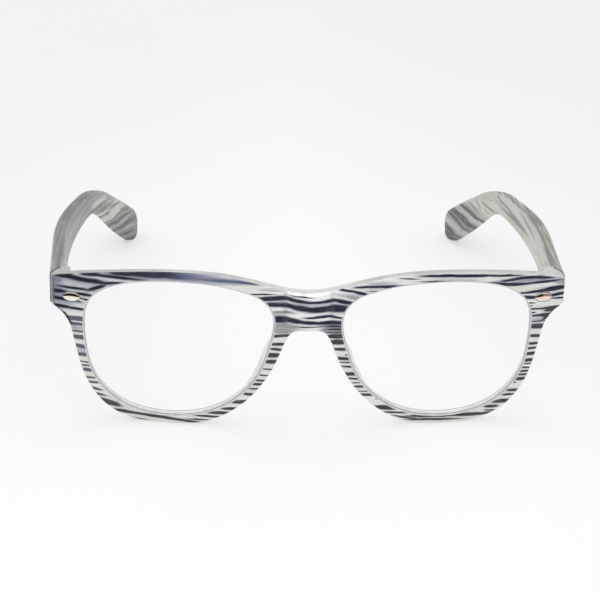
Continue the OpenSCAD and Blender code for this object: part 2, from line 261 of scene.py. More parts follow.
class Signal:
    """A node's output socket that can be used in Python sums, giving Math nodes."""

    def __init__(self, shade, socket):
        self.shade = shade
        self.socket = socket

    def _sum(self, operation, *values):
        return self.shade.node("ShaderNodeMath", {"operation": operation}, dict(enumerate(values)))

    def __add__(self, other):
        return self._sum("ADD", self, other)

    def __radd__(self, other):
        return self._sum("ADD", other, self)

    def __sub__(self, other):
        return self._sum("SUBTRACT", self, other)

    def __rsub__(self, other):
        return self._sum("SUBTRACT", other, self)

    def __mul__(self, other):
        return self._sum("MULTIPLY", self, other)

    def __rmul__(self, other):
        return self._sum("MULTIPLY", other, self)

    def plus_square(self, other):
        """This value plus the other one's square."""
        return self._sum("MULTIPLY_ADD", other, other, self)

    def least(self, other):
        return self._sum("MINIMUM", self, other)

    def most(self, other):
        return self._sum("MAXIMUM", self, other)

    def size(self):
        return self._sum("ABSOLUTE", self)

    def step(self, low, high, to_low=0.0, to_high=1.0):
        """Smooth step of this value from low to high."""
        return self.shade.node(
            "ShaderNodeMapRange", {"interpolation_type": "SMOOTHSTEP", "clamp": True},
            {"Value": self, "From Min": low, "From Max": high, "To Min": to_low, "To Max": to_high},
            "Result")


class Shade:
    """Builds the nodes of one material or of the world."""

    def __init__(self, owner):
        self.owner = owner
        owner.use_nodes = True
        self.tree = owner.node_tree
        self.tree.nodes.clear()

    @classmethod
    def material(cls, name):
        return cls(bpy.data.materials.new(name))

    def node(self, kind, settings, inputs, output=0):
        """Adds a node: first its settings, then the values or links of its sockets."""
        node = self.tree.nodes.new(kind)
        for key, value in settings.items():
            setattr(node, key, value)
        for key, value in inputs.items():
            socket = node.inputs[key]
            if isinstance(value, Signal):
                self.tree.links.new(value.socket, socket)
            else:
                socket.default_value = value
        return None if output is None else Signal(self, node.outputs[output])

    def place(self):
        """Object coordinates in millimetres."""
        spot = self.node("ShaderNodeTexCoord", {}, {}, "Object")
        return self.node("ShaderNodeVectorMath", {"operation": "SCALE"}, {0: spot, "Scale": 1 / MM}, 0)

    def part(self, vector, axis):
        return self.node("ShaderNodeSeparateXYZ", {}, {0: vector}, axis)

    def dot(self, vector, direction):
        return self.node("ShaderNodeVectorMath", {"operation": "DOT_PRODUCT"},
                         {0: vector, 1: direction}, "Value")

    def vector(self, x, y, z):
        return self.node("ShaderNodeCombineXYZ", {}, {0: x, 1: y, 2: z})

    def noise(self, vector, scale, detail, rough):
        return self.node("ShaderNodeTexNoise", {"noise_dimensions": "3D"},
                         {"Vector": vector, "Scale": scale, "Detail": detail, "Roughness": rough}, "Fac")

    def mix(self, factor, a, b):
        """Mixes two colours."""
        a, b = (c if isinstance(c, Signal) else (*c, 1.0) for c in (a, b))
        return self.node("ShaderNodeMix", {"data_type": "RGBA"}, {0: factor, 6: a, 7: b}, 2)

    def bump(self, height, strength, distance):
        return self.node("ShaderNodeBump", {}, {"Height": height, "Strength": strength,
                                                "Distance": distance}, "Normal")

    def normal(self):
        """World direction that the surface faces, smoothed over the mesh."""
        return self.node("ShaderNodeNewGeometry", {}, {}, "Normal")

    def finish(self, inputs):
        surface = self.node("ShaderNodeBsdfPrincipled", {}, inputs)
        self.node("ShaderNodeOutputMaterial", {}, {"Surface": surface}, None)
        return self.owner


# How strongly the plastic bends light
PLASTIC_IOR = 1.49


class Coats:
    """A colour that grows coat by coat: each coat covers the last by a share from 0 to 1."""

    def __init__(self, shade, look, ground):
        self.shade = shade
        self.look = look
        self.colour = ground

    def lay(self, coat, share):
        """Lays a coat: the name of one of the look's colours, or a worked-out colour."""
        over = getattr(self.look, coat) if isinstance(coat, str) else coat
        self.colour = self.shade.mix(share, self.colour, over)


# Streaks of the front's plastic. Each streak has the places of its two ends seen from the front,
# across and up, and half its thickness, in millimetres.

SOFT_BLUE = [
    (-56, 46.9, -44, 46.9, 0.85), (-50, 46.9, -36, 47, 1.1), (-42, 46.9, -28, 46.6, 1.0),
    (-33, 46.4, -19, 45.5, 0.5), (-22, 45.7, -14, 44.9, 0.3), (-64.5, 46, -55, 45.6, 0.42),
    (-59, 45.7, -46, 45.1, 0.42), (-70.3, 45, -61, 44.3, 0.55), (-66, 44.5, -55.5, 43.4, 0.68),
    (-58, 43.3, -51, 43.7, 0.32), (-68.5, 41.6, -60, 40.9, 0.35), (-60.5, 40.8, -56, 42.8, 0.45),
    (-71, 40.2, -67, 39.9, 0.5), (-64, 39.7, -59.6, 39.2, 0.4), (-71.3, 38.3, -65, 37.2, 0.42),
    (-62.8, 38.2, -60.3, 37.7, 0.18), (-64, 37.2, -62.5, 37, 0.12), (-71, 35.7, -65, 35, 0.4),
    (-67, 35.1, -61.2, 34.7, 0.3), (-69.3, 34.9, -67, 32.6, 0.35), (-67.3, 33, -65.4, 30.2, 0.32),
]
BLUE_STREAKS = [
    (-14.3, 40.3, -8, 40.6, 0.7), (-11, 40.5, -4.5, 40.9, 0.72), (-7, 40.8, 0.5, 40.1, 0.55),
    (-2, 40.05, 5, 40.1, 0.42), (3, 40.1, 9, 40.05, 0.55), (7, 40, 13, 38.9, 0.6),
    (-12.3, 38.6, -7, 38.6, 0.68), (-9.5, 38.7, -3, 38.4, 0.75), (-5.5, 38.4, 2, 37.8, 0.92),
    (-1, 37.8, 7, 37.6, 1.05), (4, 37.7, 11.8, 37.3, 1.2), (-1, 35.1, 5, 35.3, 0.33),
    (2, 35.4, 7, 35.1, 0.42), (5.5, 35.1, 10, 34.3, 0.3), (-10.5, 34.1, -5, 34.1, 1.0),
    (-7, 34.1, -1.5, 33.7, 0.78), (-4, 33.9, 3.5, 33.3, 0.58), (1, 33.35, 10.5, 32.95, 0.6),
    (-17, 41.7, -10, 41.8, 0.16), (8.3, 43.3, 13, 42.6, 0.4), (11.5, 42.8, 16.3, 41.6, 0.42),
    (12.5, 43.9, 18, 44.1, 0.3), (15, 44.1, 28, 43.9, 0.42), (16.5, 42.7, 20, 42.6, 0.12),
    (31, 46.95, 44, 46.6, 0.38), (36, 46.8, 52, 46.15, 0.45), (47, 46.35, 58, 45.75, 0.3),
    (31, 45.2, 38, 45.05, 0.2), (36, 45.05, 44, 44.6, 0.16), (53.3, 44.3, 60, 44.95, 0.35),
    (57, 44.9, 64.5, 44.95, 0.45), (61, 44.9, 67.5, 44.4, 0.35), (50, 43.9, 57, 42.95, 0.42),
    (53, 43.2, 61, 43, 0.48), (58, 43, 69.5, 43.5, 0.35), (57.5, 40.2, 64, 40.25, 0.28),
    (61, 40.3, 67, 40.7, 0.42), (64.5, 40.6, 71.8, 41.3, 0.72), (66.5, 38.8, 71.8, 39.4, 0.5),
    (59, 39, 63.5, 38.5, 0.55), (67.5, 37.9, 71.5, 37.9, 0.22),
]
COAL_STREAKS = [
    (-67, 32, -60.7, 31.6, 0.62), (-66.7, 30.2, -60.7, 30, 0.32), (-66, 27.9, -60.7, 27.7, 0.26),
    (-65.7, 26.3, -60.7, 25.8, 0.6), (-65.1, 23.6, -60.3, 22.6, 0.5), (-64.5, 20.8, -59.9, 20.4, 0.5),
    (-64.1, 18.5, -59.7, 18, 0.15), (-63.7, 17.2, -59.3, 17.1, 0.22), (-63.4, 15.9, -58.9, 15.6, 0.45),
    (-62.7, 13.4, -58.1, 13.3, 0.22), (-62.1, 12, -57.5, 11.9, 0.32), (-61.8, 10.6, -57.8, 9.6, 0.36),
    (-60.8, 8.6, -56.4, 7.9, 0.25), (-59.6, 6.8, -52.5, 5, 0.72), (-55, 3.6, -45, 2.5, 0.42),
    (-48, 2.8, -35, 1.3, 0.42), (-38, 1.5, -29.5, 0.7, 0.32), (-52, 1.6, -45, 0.9, 0.15),
    (-33, 1.7, -26, 1.5, 0.15), (-31.5, 2.9, -24, 2.6, 0.25), (-27.5, 4, -20.5, 4, 0.4),
    (-23.5, 5.4, -18.5, 5.5, 0.4), (-21, 7.6, -15.5, 7.9, 0.5), (-18.2, 10.4, -13.5, 10, 0.35),
    (-16.8, 12.1, -12.5, 12, 0.2), (-16, 13.6, -11.7, 13.4, 0.35), (-15.2, 14.8, -11.1, 14.6, 0.3),
    (-14.3, 16.5, -10.2, 16.3, 0.15), (-13.4, 18.5, -9.1, 18.2, 0.15), (-12.5, 20.8, -7.9, 20.7, 0.55),
    (-12, 22.8, -7.2, 22.8, 0.6), (-11.3, 24.9, -6.7, 24.5, 0.3), (-11, 26.2, -6, 26.3, 0.35),
    (-10.2, 28.7, -5, 29.2, 0.42), (-5, 42, 1, 41.6, 0.14),
    (25, 46.4, 30, 46.1, 0.12), (60, 37, 62.8, 36.9, 0.14), (60.3, 36.1, 62.2, 36, 0.12),
    (61, 34.95, 67, 34.9, 0.2), (64.5, 34.9, 71, 35.2, 0.38), (66, 34.2, 69.5, 34.6, 0.45),
    (65.5, 31.5, 69.8, 34.8, 0.45), (61.2, 33.8, 63, 33.8, 0.2), (62, 32.8, 68.5, 33, 0.4),
    (64.5, 32.8, 68.5, 32.8, 0.55), (61.5, 31, 66, 31, 0.14), (61.5, 29.5, 66.5, 29.4, 0.66),
    (61.5, 26.6, 65.3, 26.3, 0.4), (61.2, 24.1, 65.2, 24, 0.35), (61, 22.5, 64.8, 22.7, 0.3),
    (60.7, 20.7, 64.5, 21, 0.4), (60.3, 18.7, 63.9, 18.8, 0.45), (60.1, 17.6, 63.3, 17.6, 0.15),
    (59.7, 16.6, 63.3, 16.3, 0.2), (59.4, 15.4, 62.9, 15.3, 0.25), (59.1, 14.4, 62.3, 14.2, 0.25),
    (58.5, 12.9, 62, 12.9, 0.45), (58.4, 11.8, 59, 11.8, 0.12), (56.5, 9.5, 60, 9.4, 0.35),
    (55.5, 8.1, 59, 8.1, 0.3), (53, 6, 58.5, 6.2, 0.5), (50.5, 4.6, 54, 4.6, 0.35),
    (50.5, 3.5, 53.5, 3.3, 0.2), (5.2, 28.8, 10.5, 28.7, 0.6), (6, 27, 11, 27, 0.7),
    (6.7, 24.8, 11.5, 24.6, 0.35), (10.3, 22.9, 11.1, 22.9, 0.15), (7.5, 21.9, 12.5, 21.5, 0.4),
    (8.3, 20.6, 13, 20.4, 0.15), (8.8, 19.4, 13.5, 18.9, 0.2), (10, 16.8, 14.5, 16.8, 0.5),
    (10.8, 15.4, 15.5, 15.1, 0.25), (11.5, 14, 16, 13.9, 0.12), (12.3, 12.8, 16.8, 12.6, 0.25),
    (13.5, 11.2, 18, 11.2, 0.15), (14.2, 10.2, 19.2, 9.9, 0.3), (19.5, 8.6, 20.1, 8.6, 0.15),
    (19.3, 6, 25.5, 5.5, 0.6), (21.5, 4.3, 29, 3.8, 0.25), (29, 2.7, 44, 2.4, 0.42),
    (40, 2.5, 51, 2.4, 0.48), (49, 2.3, 52, 2.7, 0.3), (24.5, 3, 32, 1.6, 0.2),
    (29, 1.6, 43, 1.2, 0.3), (4.8, 32, 10.5, 31.85, 0.25), (5, 31, 10.5, 30.9, 0.22),
    (5, 30.05, 10.5, 30, 0.15), (-4, 32.1, 5, 32.1, 0.1),
]
# Lavender and grey clouds between the streaks
HAZE_STREAKS = [
    (-71.5, 41, -69.3, 41, 4.5), (-10.4, 35.6, -7, 35.4, 0.5), (-13, 43.2, -6.5, 43.1, 0.5),
    (17, 45, 24, 44.9, 0.5), (-12, 39.6, 10, 39.1, 0.3),
    (52, 44, 68, 44, 0.95), (61, 31.3, 66, 31.3, 0.8), (-44, 45.7, -20, 44.9, 0.8),
    (-66, 42.9, -58, 42.2, 0.8), (-70, 36.9, -65, 36.2, 0.5), (33, 45.4, 46, 45, 0.5),
    (-66, 29, -61, 29, 0.9), (-65, 22, -60, 21.6, 0.7), (8, 41.6, 14, 41, 0.7),
    (-60, 45.9, -50, 46.2, 0.5),
]
# Greenish grey clouds low on the bridge and on the end pieces
CLOUD_STREAKS = [
    (-10.5, 31.3, -4.4, 31.3, 1.8), (-10.5, 30.4, -4.4, 30.3, 0.5), (68, 43.4, 71.8, 42.8, 0.9),
    (-10.5, 36.3, -4, 36.4, 0.5), (11, 41, 14, 40.5, 0.5),
]
# Slate clouds at the bridge's foot, on the right brow and at the left end
SLATE_STREAKS = [
    (4.8, 31.4, 10.8, 31.3, 2.3), (57, 44.05, 66, 44.05, 0.3), (-71.5, 43.6, -68.5, 43.4, 1.2),
    (-71.5, 38.8, -69, 38.6, 1.5),
]


def streak_distance(shade, place, streaks, fuller=1.0):
    """Squared distance to the nearest streak, 1 at its edge: each streak is a long thin ellipse."""
    nearest = FAR
    for u0, w0, u1, w1, half in streaks:
        half = half * fuller + 0.05
        reach = math.hypot(u1 - u0, w1 - w0)
        long_u, long_w = (u1 - u0) / reach, (w1 - w0) / reach
        u, w = (u0 + u1) / 2, (w0 + w1) / 2
        reach = reach * 0.56 + half * 0.5
        ahead = shade.dot(place, (long_u / reach, long_w / reach, -(long_u * u + long_w * w) / reach))
        aside = shade.dot(place, (-long_w / half, long_u / half, (long_w * u - long_u * w) / half))
        nearest = (aside * aside).plus_square(ahead).least(nearest)
    return nearest


def front_place(shade):
    """A place on the leaning front: the spot itself, how far across and how far up."""
    spot = shade.place()
    across = shade.part(spot, "X")
    up = (shade.dot(spot, (0.0, -math.sin(LEAN), math.cos(LEAN)))
          + (SHIFT_Y * math.sin(LEAN) - SHIFT_Z * math.cos(LEAN)))
    return spot, across, up


def face_depth(shade, spot, across):
    """Depth of a place behind the bent face."""
    return (shade.dot(spot, (0.0, math.cos(LEAN), math.sin(LEAN)))
            + (-SHIFT_Y * math.cos(LEAN) - SHIFT_Z * math.sin(LEAN))
            - across * across * (0.5 / BEND_RADIUS))


def streaked_plastic(look):
    """Pale satin plastic with the dark blue and charcoal streaks that run across the front."""
    shade = Shade.material("streaked_plastic")
    spot, across, up = front_place(shade)
    grain = shade.noise(shade.vector(across * 0.22, up * 1.1, 0.0), 1.0, 3.0, 0.55)
    drift = shade.noise(shade.vector(across * 0.12, up * 0.5, 7.0), 1.0, 2.0, 0.5)
    place = shade.vector(across + (drift - 0.5) * 1.2, up + (grain - 0.5) * 0.5, 1.0)
    ragged = shade.noise(shade.vector(across * 0.5, up * 3.0, 2.0), 1.0, 2.0, 0.6) - 0.5
    soft = streak_distance(shade, place, SOFT_BLUE, 1.1) + ragged * 0.5
    blue = streak_distance(shade, place, BLUE_STREAKS) + ragged * 0.35
    coal = streak_distance(shade, place, COAL_STREAKS, 1.12) + ragged * 0.3
    haze = streak_distance(shade, place, HAZE_STREAKS)
    cloud = streak_distance(shade, place, CLOUD_STREAKS)
    slate = streak_distance(shade, place, SLATE_STREAKS)
    fine = shade.noise(shade.vector(across * 0.1, up * 2.6, 3.0), 1.0, 4.0, 0.6)
    broad = shade.noise(shade.vector(across * 0.08, up * 0.25, 1.0), 1.0, 2.0, 0.5)
    # Stretches of the front that are lighter or darker than the rest
    bridge_middle = across.size().step(17.0, 6.0) * up.step(32.5, 34.5)
    left_end = across.step(-64.0, -71.0) * up.step(34.0, 38.0)
    left_bar = across.step(-45.0, -58.0) * up.step(2.0, 12.0)
    washed_brow = across.step(-42.0, -30.0) * across.step(-12.0, -18.0)
    veil = across.step(-38.0, -27.0) * across.step(-14.0, -20.0) * up.step(45.4, 46.6)
    # Painted shade in the creases beside the bridge's round
    crease = (across.size() - 6.4).size().step(1.1, 0.0) * up.step(31.5, 34.0)
    corner_line = (across + 70.1).size().step(0.4, 0.05) * up.step(35.5, 37.0)
    # Painted shade on the left end's outer side
    left_side_shade = across.step(-70.25, -70.5) * up.step(36.0, 37.5)
    layer = face_depth(shade, spot, across).step(0.35, 0.5) * across.step(-26.0, -18.0)
    # The pale ground, and the clouds and hazes in it
    veins = fine.step(0.3, 0.62, 0.55, 1.0)
    ground = Coats(shade, look, shade.mix(broad.step(0.35, 0.65), look.pale, look.pale_warm))
    ground.lay("pale_grey", fine.step(0.5, 0.74) * 0.6)
    ground.lay("bright", bridge_middle * 0.85)
    ground.lay("cloud", cloud.step(2.0, 0.1) * veins * 0.95)
    ground.lay("dusk", slate.step(1.6, 0.4) * veins * 0.95)
    ground.lay("haze", haze.step(1.8, 0.1) * veins * 0.8)
    ground.lay("haze", soft.step(6.0, 0.8) * 0.75)
    ground.lay("haze", blue.step(3.4, 0.8) * veins * 0.55)
    ground.lay("haze", coal.step(3.0, 0.8) * 0.35)
    ground.lay("dusk", left_end * fine.step(0.62, 0.4, 0.35, 0.85))
    # The colours of the streaks
    depth = grain.step(0.25, 0.75)
    navy = Coats(shade, look, shade.mix(depth, look.blue_dark, look.blue))
    navy.lay("blue_dark", across.step(-47.0, -55.0) * 0.6)
    washed = Coats(shade, look, navy.colour)
    washed.lay("slate", washed_brow)
    washed.lay("haze", veil * 0.6)
    coals = Coats(shade, look, shade.mix(depth, look.coal_dark, look.coal))
    coals.lay("coal_soft", left_bar * 0.75)
    # The streaks on the ground, the narrow marks along the edges, and painted shade in the bridge's
    # creases and on the left end's outer side
    face = Coats(shade, look, ground.colour)
    face.lay(coals.colour, coal.step(1.5, 0.5) * 0.985)
    face.lay(navy.colour, blue.step(1.6, 0.35))
    face.lay(washed.colour, soft.step(1.9, 0.25))
    # Painted shade in the creases beside the bridge's round
    face.lay("slate", crease * 0.24)
    face.lay("coal_soft", corner_line * 0.8)
    # Painted shade on the left end's outer side
    face.lay("edge_shade", left_side_shade * 0.9)
    face.lay("edge", layer)
    ripple = shade.noise(spot, 1.4, 2.0, 0.5)
    return shade.finish({
        "Base Color": face.colour, "Roughness": fine.step(0.2, 0.8, 0.3, 0.42),
        "Normal": shade.bump(ripple, 0.12, 0.0002), "IOR": PLASTIC_IOR, "Specular IOR Level": 0.14})


def pale_plastic(look):
    """The paler plastic of the front's edges and back, mottled on the end pieces."""
    shade = Shade.material("pale_plastic")
    spot, across, up = front_place(shade)
    cloud = shade.noise(shade.vector(across * 0.15, up * 0.9, 5.0), 1.0, 3.0, 0.5)
    mottle = shade.noise(spot, 0.9, 4.0, 0.65)
    end_piece_block = across.size().step(62.0, 65.0)
    edge = Coats(shade, look, shade.mix(cloud.step(0.3, 0.7), look.edge, look.edge_grey))
    edge.lay("cloud", across.step(-30.0, -62.0) * cloud.step(0.75, 0.3) * 0.5)
    edge.lay("bright", across.size().step(20.0, 6.0) * 0.3)
    edge.lay("olive_light", end_piece_block * mottle.step(0.62, 0.4) * 0.75)
    edge.lay("pale_grey", end_piece_block * mottle.step(0.5, 0.72) * 0.7)
    edge.lay("cloud", across.step(-58.0, -64.0) * 0.3)
    ripple = shade.noise(spot, 1.2, 2.0, 0.5)
    return shade.finish({
        "Base Color": edge.colour, "Roughness": cloud.step(0.2, 0.8, 0.32, 0.44),
        "Normal": shade.bump(ripple, 0.1, 0.0002), "IOR": PLASTIC_IOR, "Specular IOR Level": 0.3})


def bevel_plastic(name, ground, cloud_colour):
    """Plastic of a narrow bevel, a thin line, or a face painted dark as the shade in a joint."""
    shade = Shade.material(name)
    _, across, up = front_place(shade)
    cloud = shade.noise(shade.vector(across * 0.4, up * 0.4, 9.0), 1.0, 2.0, 0.5)
    return shade.finish({
        "Base Color": shade.mix(cloud.step(0.3, 0.7), ground, cloud_colour),
        "Roughness": cloud.step(0.2, 0.8, 0.25, 0.4), "IOR": PLASTIC_IOR})


# Streaks of the temples, coat by coat: the coat's colour and share, and its streaks, each with the
# places of its two ends seen from the side and half its thickness, in millimetres
LEFT_TEMPLE = [
    ("mist", 0.4, [(-48, 39.5, -18, 33.5, 0.5), (-24, 41.2, -6, 38.8, 0.5), (-25, 36.2, 6, 31.2, 0.7),
                   (-60, 43.5, -40, 40, 0.5), (-12, 33.5, 10, 31, 0.5)]),
    ("ash", 0.6, [(-14, 38.4, 24, 31.5, 1.7), (-38, 43.5, -12, 40.5, 0.7), (12, 30, 30, 28.2, 0.5)]),
    ("cream", 0.8, [(30, 26.8, 43, 24.6, 0.8), (45, 16.8, 62, 15.4, 1.5), (40, 17.8, 50, 16.7, 0.5),
                    (48, 21.2, 60, 18, 0.7), (34, 21.2, 50, 18.8, 0.45)]),
    ("ash", 0.85, [(25, 26.2, 42, 23.4, 0.6), (33, 22.7, 51, 20.3, 0.45), (47, 19.3, 58, 17.5, 0.35),
                   (23, 32.5, 36, 29.2, 0.5), (60, 14.2, 67, 12, 0.5)]),
    ("smoke", 0.4, [(50, 8.6, 72, 6.4, 2.0), (54, 3.6, 72, 2.6, 2.4)]),
    ("smoke", 0.85, [(43, 19.1, 45, 18.9, 0.35), (46, 15, 64, 13.2, 0.2), (47, 13.6, 58, 12.2, 0.3),
                     (49.5, 12.6, 68, 10.4, 0.4), (54.5, 9.3, 70, 7, 0.55), (57, 6.1, 66, 4, 0.45),
                     (59, 2.4, 69, 0.9, 0.6)]),
    ("mist", 0.7, [(57, 7.6, 69, 5.3, 0.2), (52, 11, 64, 9.4, 0.15)]),
]
RIGHT_TEMPLE = [
    ("cream", 0.65, [(34, 21.8, 49, 20.6, 1.2), (4, 33.2, 25, 32.4, 1.1), (-22, 34.9, -1, 33, 1.1),
                     (-31, 33.9, 1, 27.4, 1.1), (-60, 41, -35, 39, 0.8), (24, 27, 38, 24.6, 1.2)]),
    ("ash", 0.85, [(-3, 31.8, 23, 28.3, 0.6), (4, 31.4, 16, 30, 0.35), (-12, 38.6, 5, 36.8, 0.9),
                   (-54, 44.6, -14, 41, 1.0), (-36, 42.6, -20, 40, 0.7), (-16, 35.8, 2, 34.6, 0.35),
                   (15, 30.4, 28, 29.8, 0.3), (27, 29.2, 32, 30.4, 0.3), (-58, 40, -44, 38.6, 0.3),
                   (6, 35.6, 18, 34.6, 0.35)]),
    ("ash", 0.75, [(30.5, 24.3, 43.5, 22.6, 0.3), (37, 21.3, 42, 21.4, 0.15), (46, 20.3, 51.5, 21.4, 0.3),
                   (46, 18.2, 56, 18.4, 0.4)]),
    ("smoke", 0.6, [(48, 16.4, 64, 15.4, 1.0), (52, 10.6, 72, 10, 2.8), (58, 3, 73, 2.8, 2.2)]),
    ("smoke", 0.95, [(45.5, 16, 64, 15, 0.6), (50, 11.6, 72, 11, 1.0), (56, 8.5, 74, 9.3, 0.45),
                     (62, 3.4, 75, 4.2, 0.8), (62, 1.5, 73, 2.2, 0.8)]),
    ("mist", 0.9, [(48, 13.7, 63, 13.3, 0.3), (56, 6.4, 75, 6.2, 0.75), (60, 12.6, 70, 12.6, 0.15)]),
]

# The hindmost place of the seam on the top of the end piece, and how its outer part slopes forward
SEAM_U = 67.9
SEAM_TOP = 11.3 * math.cos(LEAN) - 43.0 * math.sin(LEAN) + SHIFT_Y
SEAM_SLOPE = 1.18


def temple_plastic(look, name, side):
    """The temples' plastic: soft streaks along the length that cross the bent tip."""
    shade = Shade.material(name)
    spot = shade.place()
    x, y, z = (shade.part(spot, axis) for axis in "XYZ")
    wave = shade.noise(shade.vector(y * 0.07, z * 0.3, 4.0 * side), 1.0, 3.0, 0.5) - 0.5
    ragged = shade.noise(shade.vector(y * 0.16, z * 1.5, 2.0 * side), 1.0, 3.0, 0.6) - 0.5
    # The streaks lie askew in the thickness of the tip
    curved = (y - SHIFT_Y - INWARD_FROM).most(0.0)
    inner_side = 67.0 + (y - SHIFT_Y) * SPLAY - curved * curved * INWARD
    through = x.size() - inner_side
    z = z + through.most(0.0) * y.step(10.0, 35.0) * 0.7
    fine = shade.noise(shade.vector(y * 0.05, (z + y * 0.12) * 1.1, 6.0 * side), 1.0, 3.0, 0.6)
    place = shade.vector(y + wave * 1.2, z + wave * 0.3 + ragged * 0.35, 1.0)
    left = side < 0
    ground, light = (look.grey, look.grey_light) if left else (look.olive, look.olive_light)
    coats = Coats(shade, look, shade.mix(fine.step(0.4, 0.66), ground, light))
    for kind, amount, streaks in LEFT_TEMPLE if left else RIGHT_TEMPLE:
        distance = streak_distance(shade, place, streaks) + ragged * 0.9
        coats.lay(kind, distance.step(2.4, 0.2) * amount)
    # Fine streaks, stronger on the tip
    grain = shade.noise(shade.vector(y * 0.12, z * 2.2 + y * 0.3, 3.0 * side), 1.0, 4.0, 0.65)
    tip = y.step(0.0, 35.0, 0.45, 1.0)
    coats.lay("ash", grain.step(0.54, 0.7) * tip * 0.5)
    coats.lay("cream", grain.step(0.46, 0.32) * tip * 0.45)
    # The top face is darker, partly from the sheets of the plastic seen on edge and partly painted shade,
    # and a painted highlight makes its rounded sides paler
    upward = shade.part(shade.normal(), "Z")
    sheet = shade.noise(shade.vector(x * 1.3, y * 0.03, 8.0 + side), 1.0, 3.0, 0.6)
    sheets_and_top_shade = sheet.step(0.36, 0.6, 0.15, 1.0) * (0.85 if left else 0.9)
    coats.lay("ash", upward.step(0.8, 0.97) * sheets_and_top_shade)
    coats.lay("mist", upward.step(0.25, 0.6) * upward.step(0.9, 0.65) * 0.4)
    # Painted shadow of the gap at the seam, on the temple just behind it
    outer = x.size() - SEAM_U
    behind_seam = y - (SEAM_TOP - outer * SEAM_SLOPE)
    coats.lay("painted_shade_grey", behind_seam.step(2.6, 1.6) * outer.step(-0.9, 0.2) * 0.9)
    ripple = shade.noise(spot, 1.1, 2.0, 0.5)
    return shade.finish({
        "Base Color": coats.colour, "Roughness": fine.step(0.2, 0.8, 0.34, 0.46),
        "Normal": shade.bump(ripple, 0.1, 0.0002), "IOR": PLASTIC_IOR, "Specular IOR Level": 0.3})


def clear_lens(look):
    """Clear lens with a polished face."""
    shade = Shade.material("clear_lens")
    breath = shade.noise(shade.place(), 0.08, 2.0, 0.5)
    rim = shade.node("ShaderNodeLayerWeight", {}, {"Blend": 0.12}, "Facing")
    return shade.finish({
        "Base Color": shade.mix(breath, look.lens, (0.97, 0.98, 0.98)), "Roughness": 0.03,
        "Alpha": rim.step(0.3, 1.0, look.lens_veil, look.lens_veil + 0.25), "IOR": 1.5})


def brushed_steel(look, name, scale, rough):
    """Brushed or turned steel of the hinge leaves and screws."""
    shade = Shade.material(name)
    spot = shade.place()
    x, y, z = (shade.part(spot, axis) for axis in "XYZ")
    brush = shade.noise(shade.vector(x * 0.6, y * 0.6, z * scale), 4.0, 3.0, 0.6)
    stain = shade.noise(spot, 0.9, 2.0, 0.5)
    return shade.finish({
        "Base Color": shade.mix(stain.step(0.3, 0.7), look.steel, look.steel_dark), "Metallic": 1.0,
        "Roughness": brush.step(0.2, 0.8, rough, rough + 0.2),
        "Normal": shade.bump(brush, 0.2, 0.0001)})


def plaque_metal(name, metal):
    """Polished metal of a plaque with a faint warm tint and fine polishing lines."""
    shade = Shade.material(name)
    spot = shade.place()
    x, y, z = (shade.part(spot, axis) for axis in "XYZ")
    polish = shade.noise(shade.vector(x * 3.0, y * 3.0, z * 14.0), 2.0, 2.0, 0.5)
    veil = shade.noise(spot, 0.7, 2.0, 0.5)
    return shade.finish({
        "Base Color": shade.mix(veil.step(0.3, 0.7), metal, tuple(c * 0.9 for c in metal)),
        "Metallic": 1.0, "Roughness": polish.step(0.2, 0.8, 0.05, 0.1),
        "Normal": shade.bump(polish, 0.03, 0.00002)})


def table_top(stage):
    """Plain pale table that glows like a light table and fades a little to the back and the sides."""
    shade = Shade.material("table_top")
    spot = shade.place()
    cloud = shade.noise(spot, 0.012, 2.0, 0.5)
    far = (shade.part(spot, "Y") + shade.part(spot, "X").size() * 1.2).step(-60.0, 380.0)
    return shade.finish({
        "Base Color": shade.mix(cloud, stage.table, tuple(min(1.0, c * 1.03) for c in stage.table)),
        "Roughness": 0.9, "Specular IOR Level": 0.1,
        "Emission Color": shade.mix(far, stage.glow, stage.glow_far), "Emission Strength": 1.0})


# Shape of the front

# Last place of the half outline; the places after it run up the middle of the bridge
HALF_COUNT = len(HALF_OUTLINE) - 1
# Material numbers of the front
STREAKED, PALE, BEVEL, SHADOW_LINE, PAINTED_SHADE, INNER, BACK_SHADE_LINE = range(7)
# The bands of the front's mesh in their order, and the material of each
BANDS = {"face": STREAKED, "bevel": BEVEL, "line": SHADOW_LINE, "seat": SHADOW_LINE, "shelf": INNER, "wall": INNER,
         "back": PALE, "rounding": STREAKED, "layer": STREAKED, "outer": PALE}
# Sections between two places of the outline, and the steps of a section over its face and its back
FINE = 10
FACE_STEPS = 20
BACK_STEPS = 6
# Angles at which each rounded edge has its points
TURNS = [math.radians(90 * k / 5) for k in range(6)]
# The bevel's points: how far they are inward, and how far down
BEVEL_POINTS = [(0.0, 0.0), (0.42, 0.3), (0.78, 0.68), (1.0, 1.0)]
# Depths behind the face of the line of painted shadow where the lens sits, and of the seam between the
# two layers
SEAT_FRONT, SEAT_BACK = 0.93, 1.06
LAYER = 1.0
# Width of the thin line of painted shadow at a bevel's foot, and how far the seam lies behind its plan
LINE_WIDTH = 0.08
SEAM_SHIFT = 0.044


def seam_n(u):
    """Depth of the seam between an end piece and its temple."""
    return table(SEAM, u) + SEAM_SHIFT


def cut_at_seam(u, n):
    """Depth of a place of the front, kept on its own side of the seam."""
    return min(n, seam_n(u)) if u > 69.0 else n


def front_point(u, n, w):
    """World place of a front point, flattened where the rims stand on the table."""
    x, y, z = on_front(u, cut_at_seam(u, n), w * TALL)
    return (x, y, max(0.0, z))


def outline_normal(t):
    """Normal of the half outline out of the front, upright where the two halves meet."""
    if t in (0, HALF_COUNT):
        return (0.0, 1.0 if t == 0 else -1.0)
    return normal_at(outline_at, t)


def outline_side(t, inset):
    """Place of the outline set in by a rounded edge, or a place up the middle of the bridge."""
    if t > HALF_COUNT:
        low, high = HALF_OUTLINE[-1][1] + inset, HALF_OUTLINE[0][1] - inset
        return (0.0, lerp(low, high, t - HALF_COUNT))
    (u, w), (nu, nw) = outline_at(t), outline_normal(t)
    return (u - nu * inset, w - nw * inset)


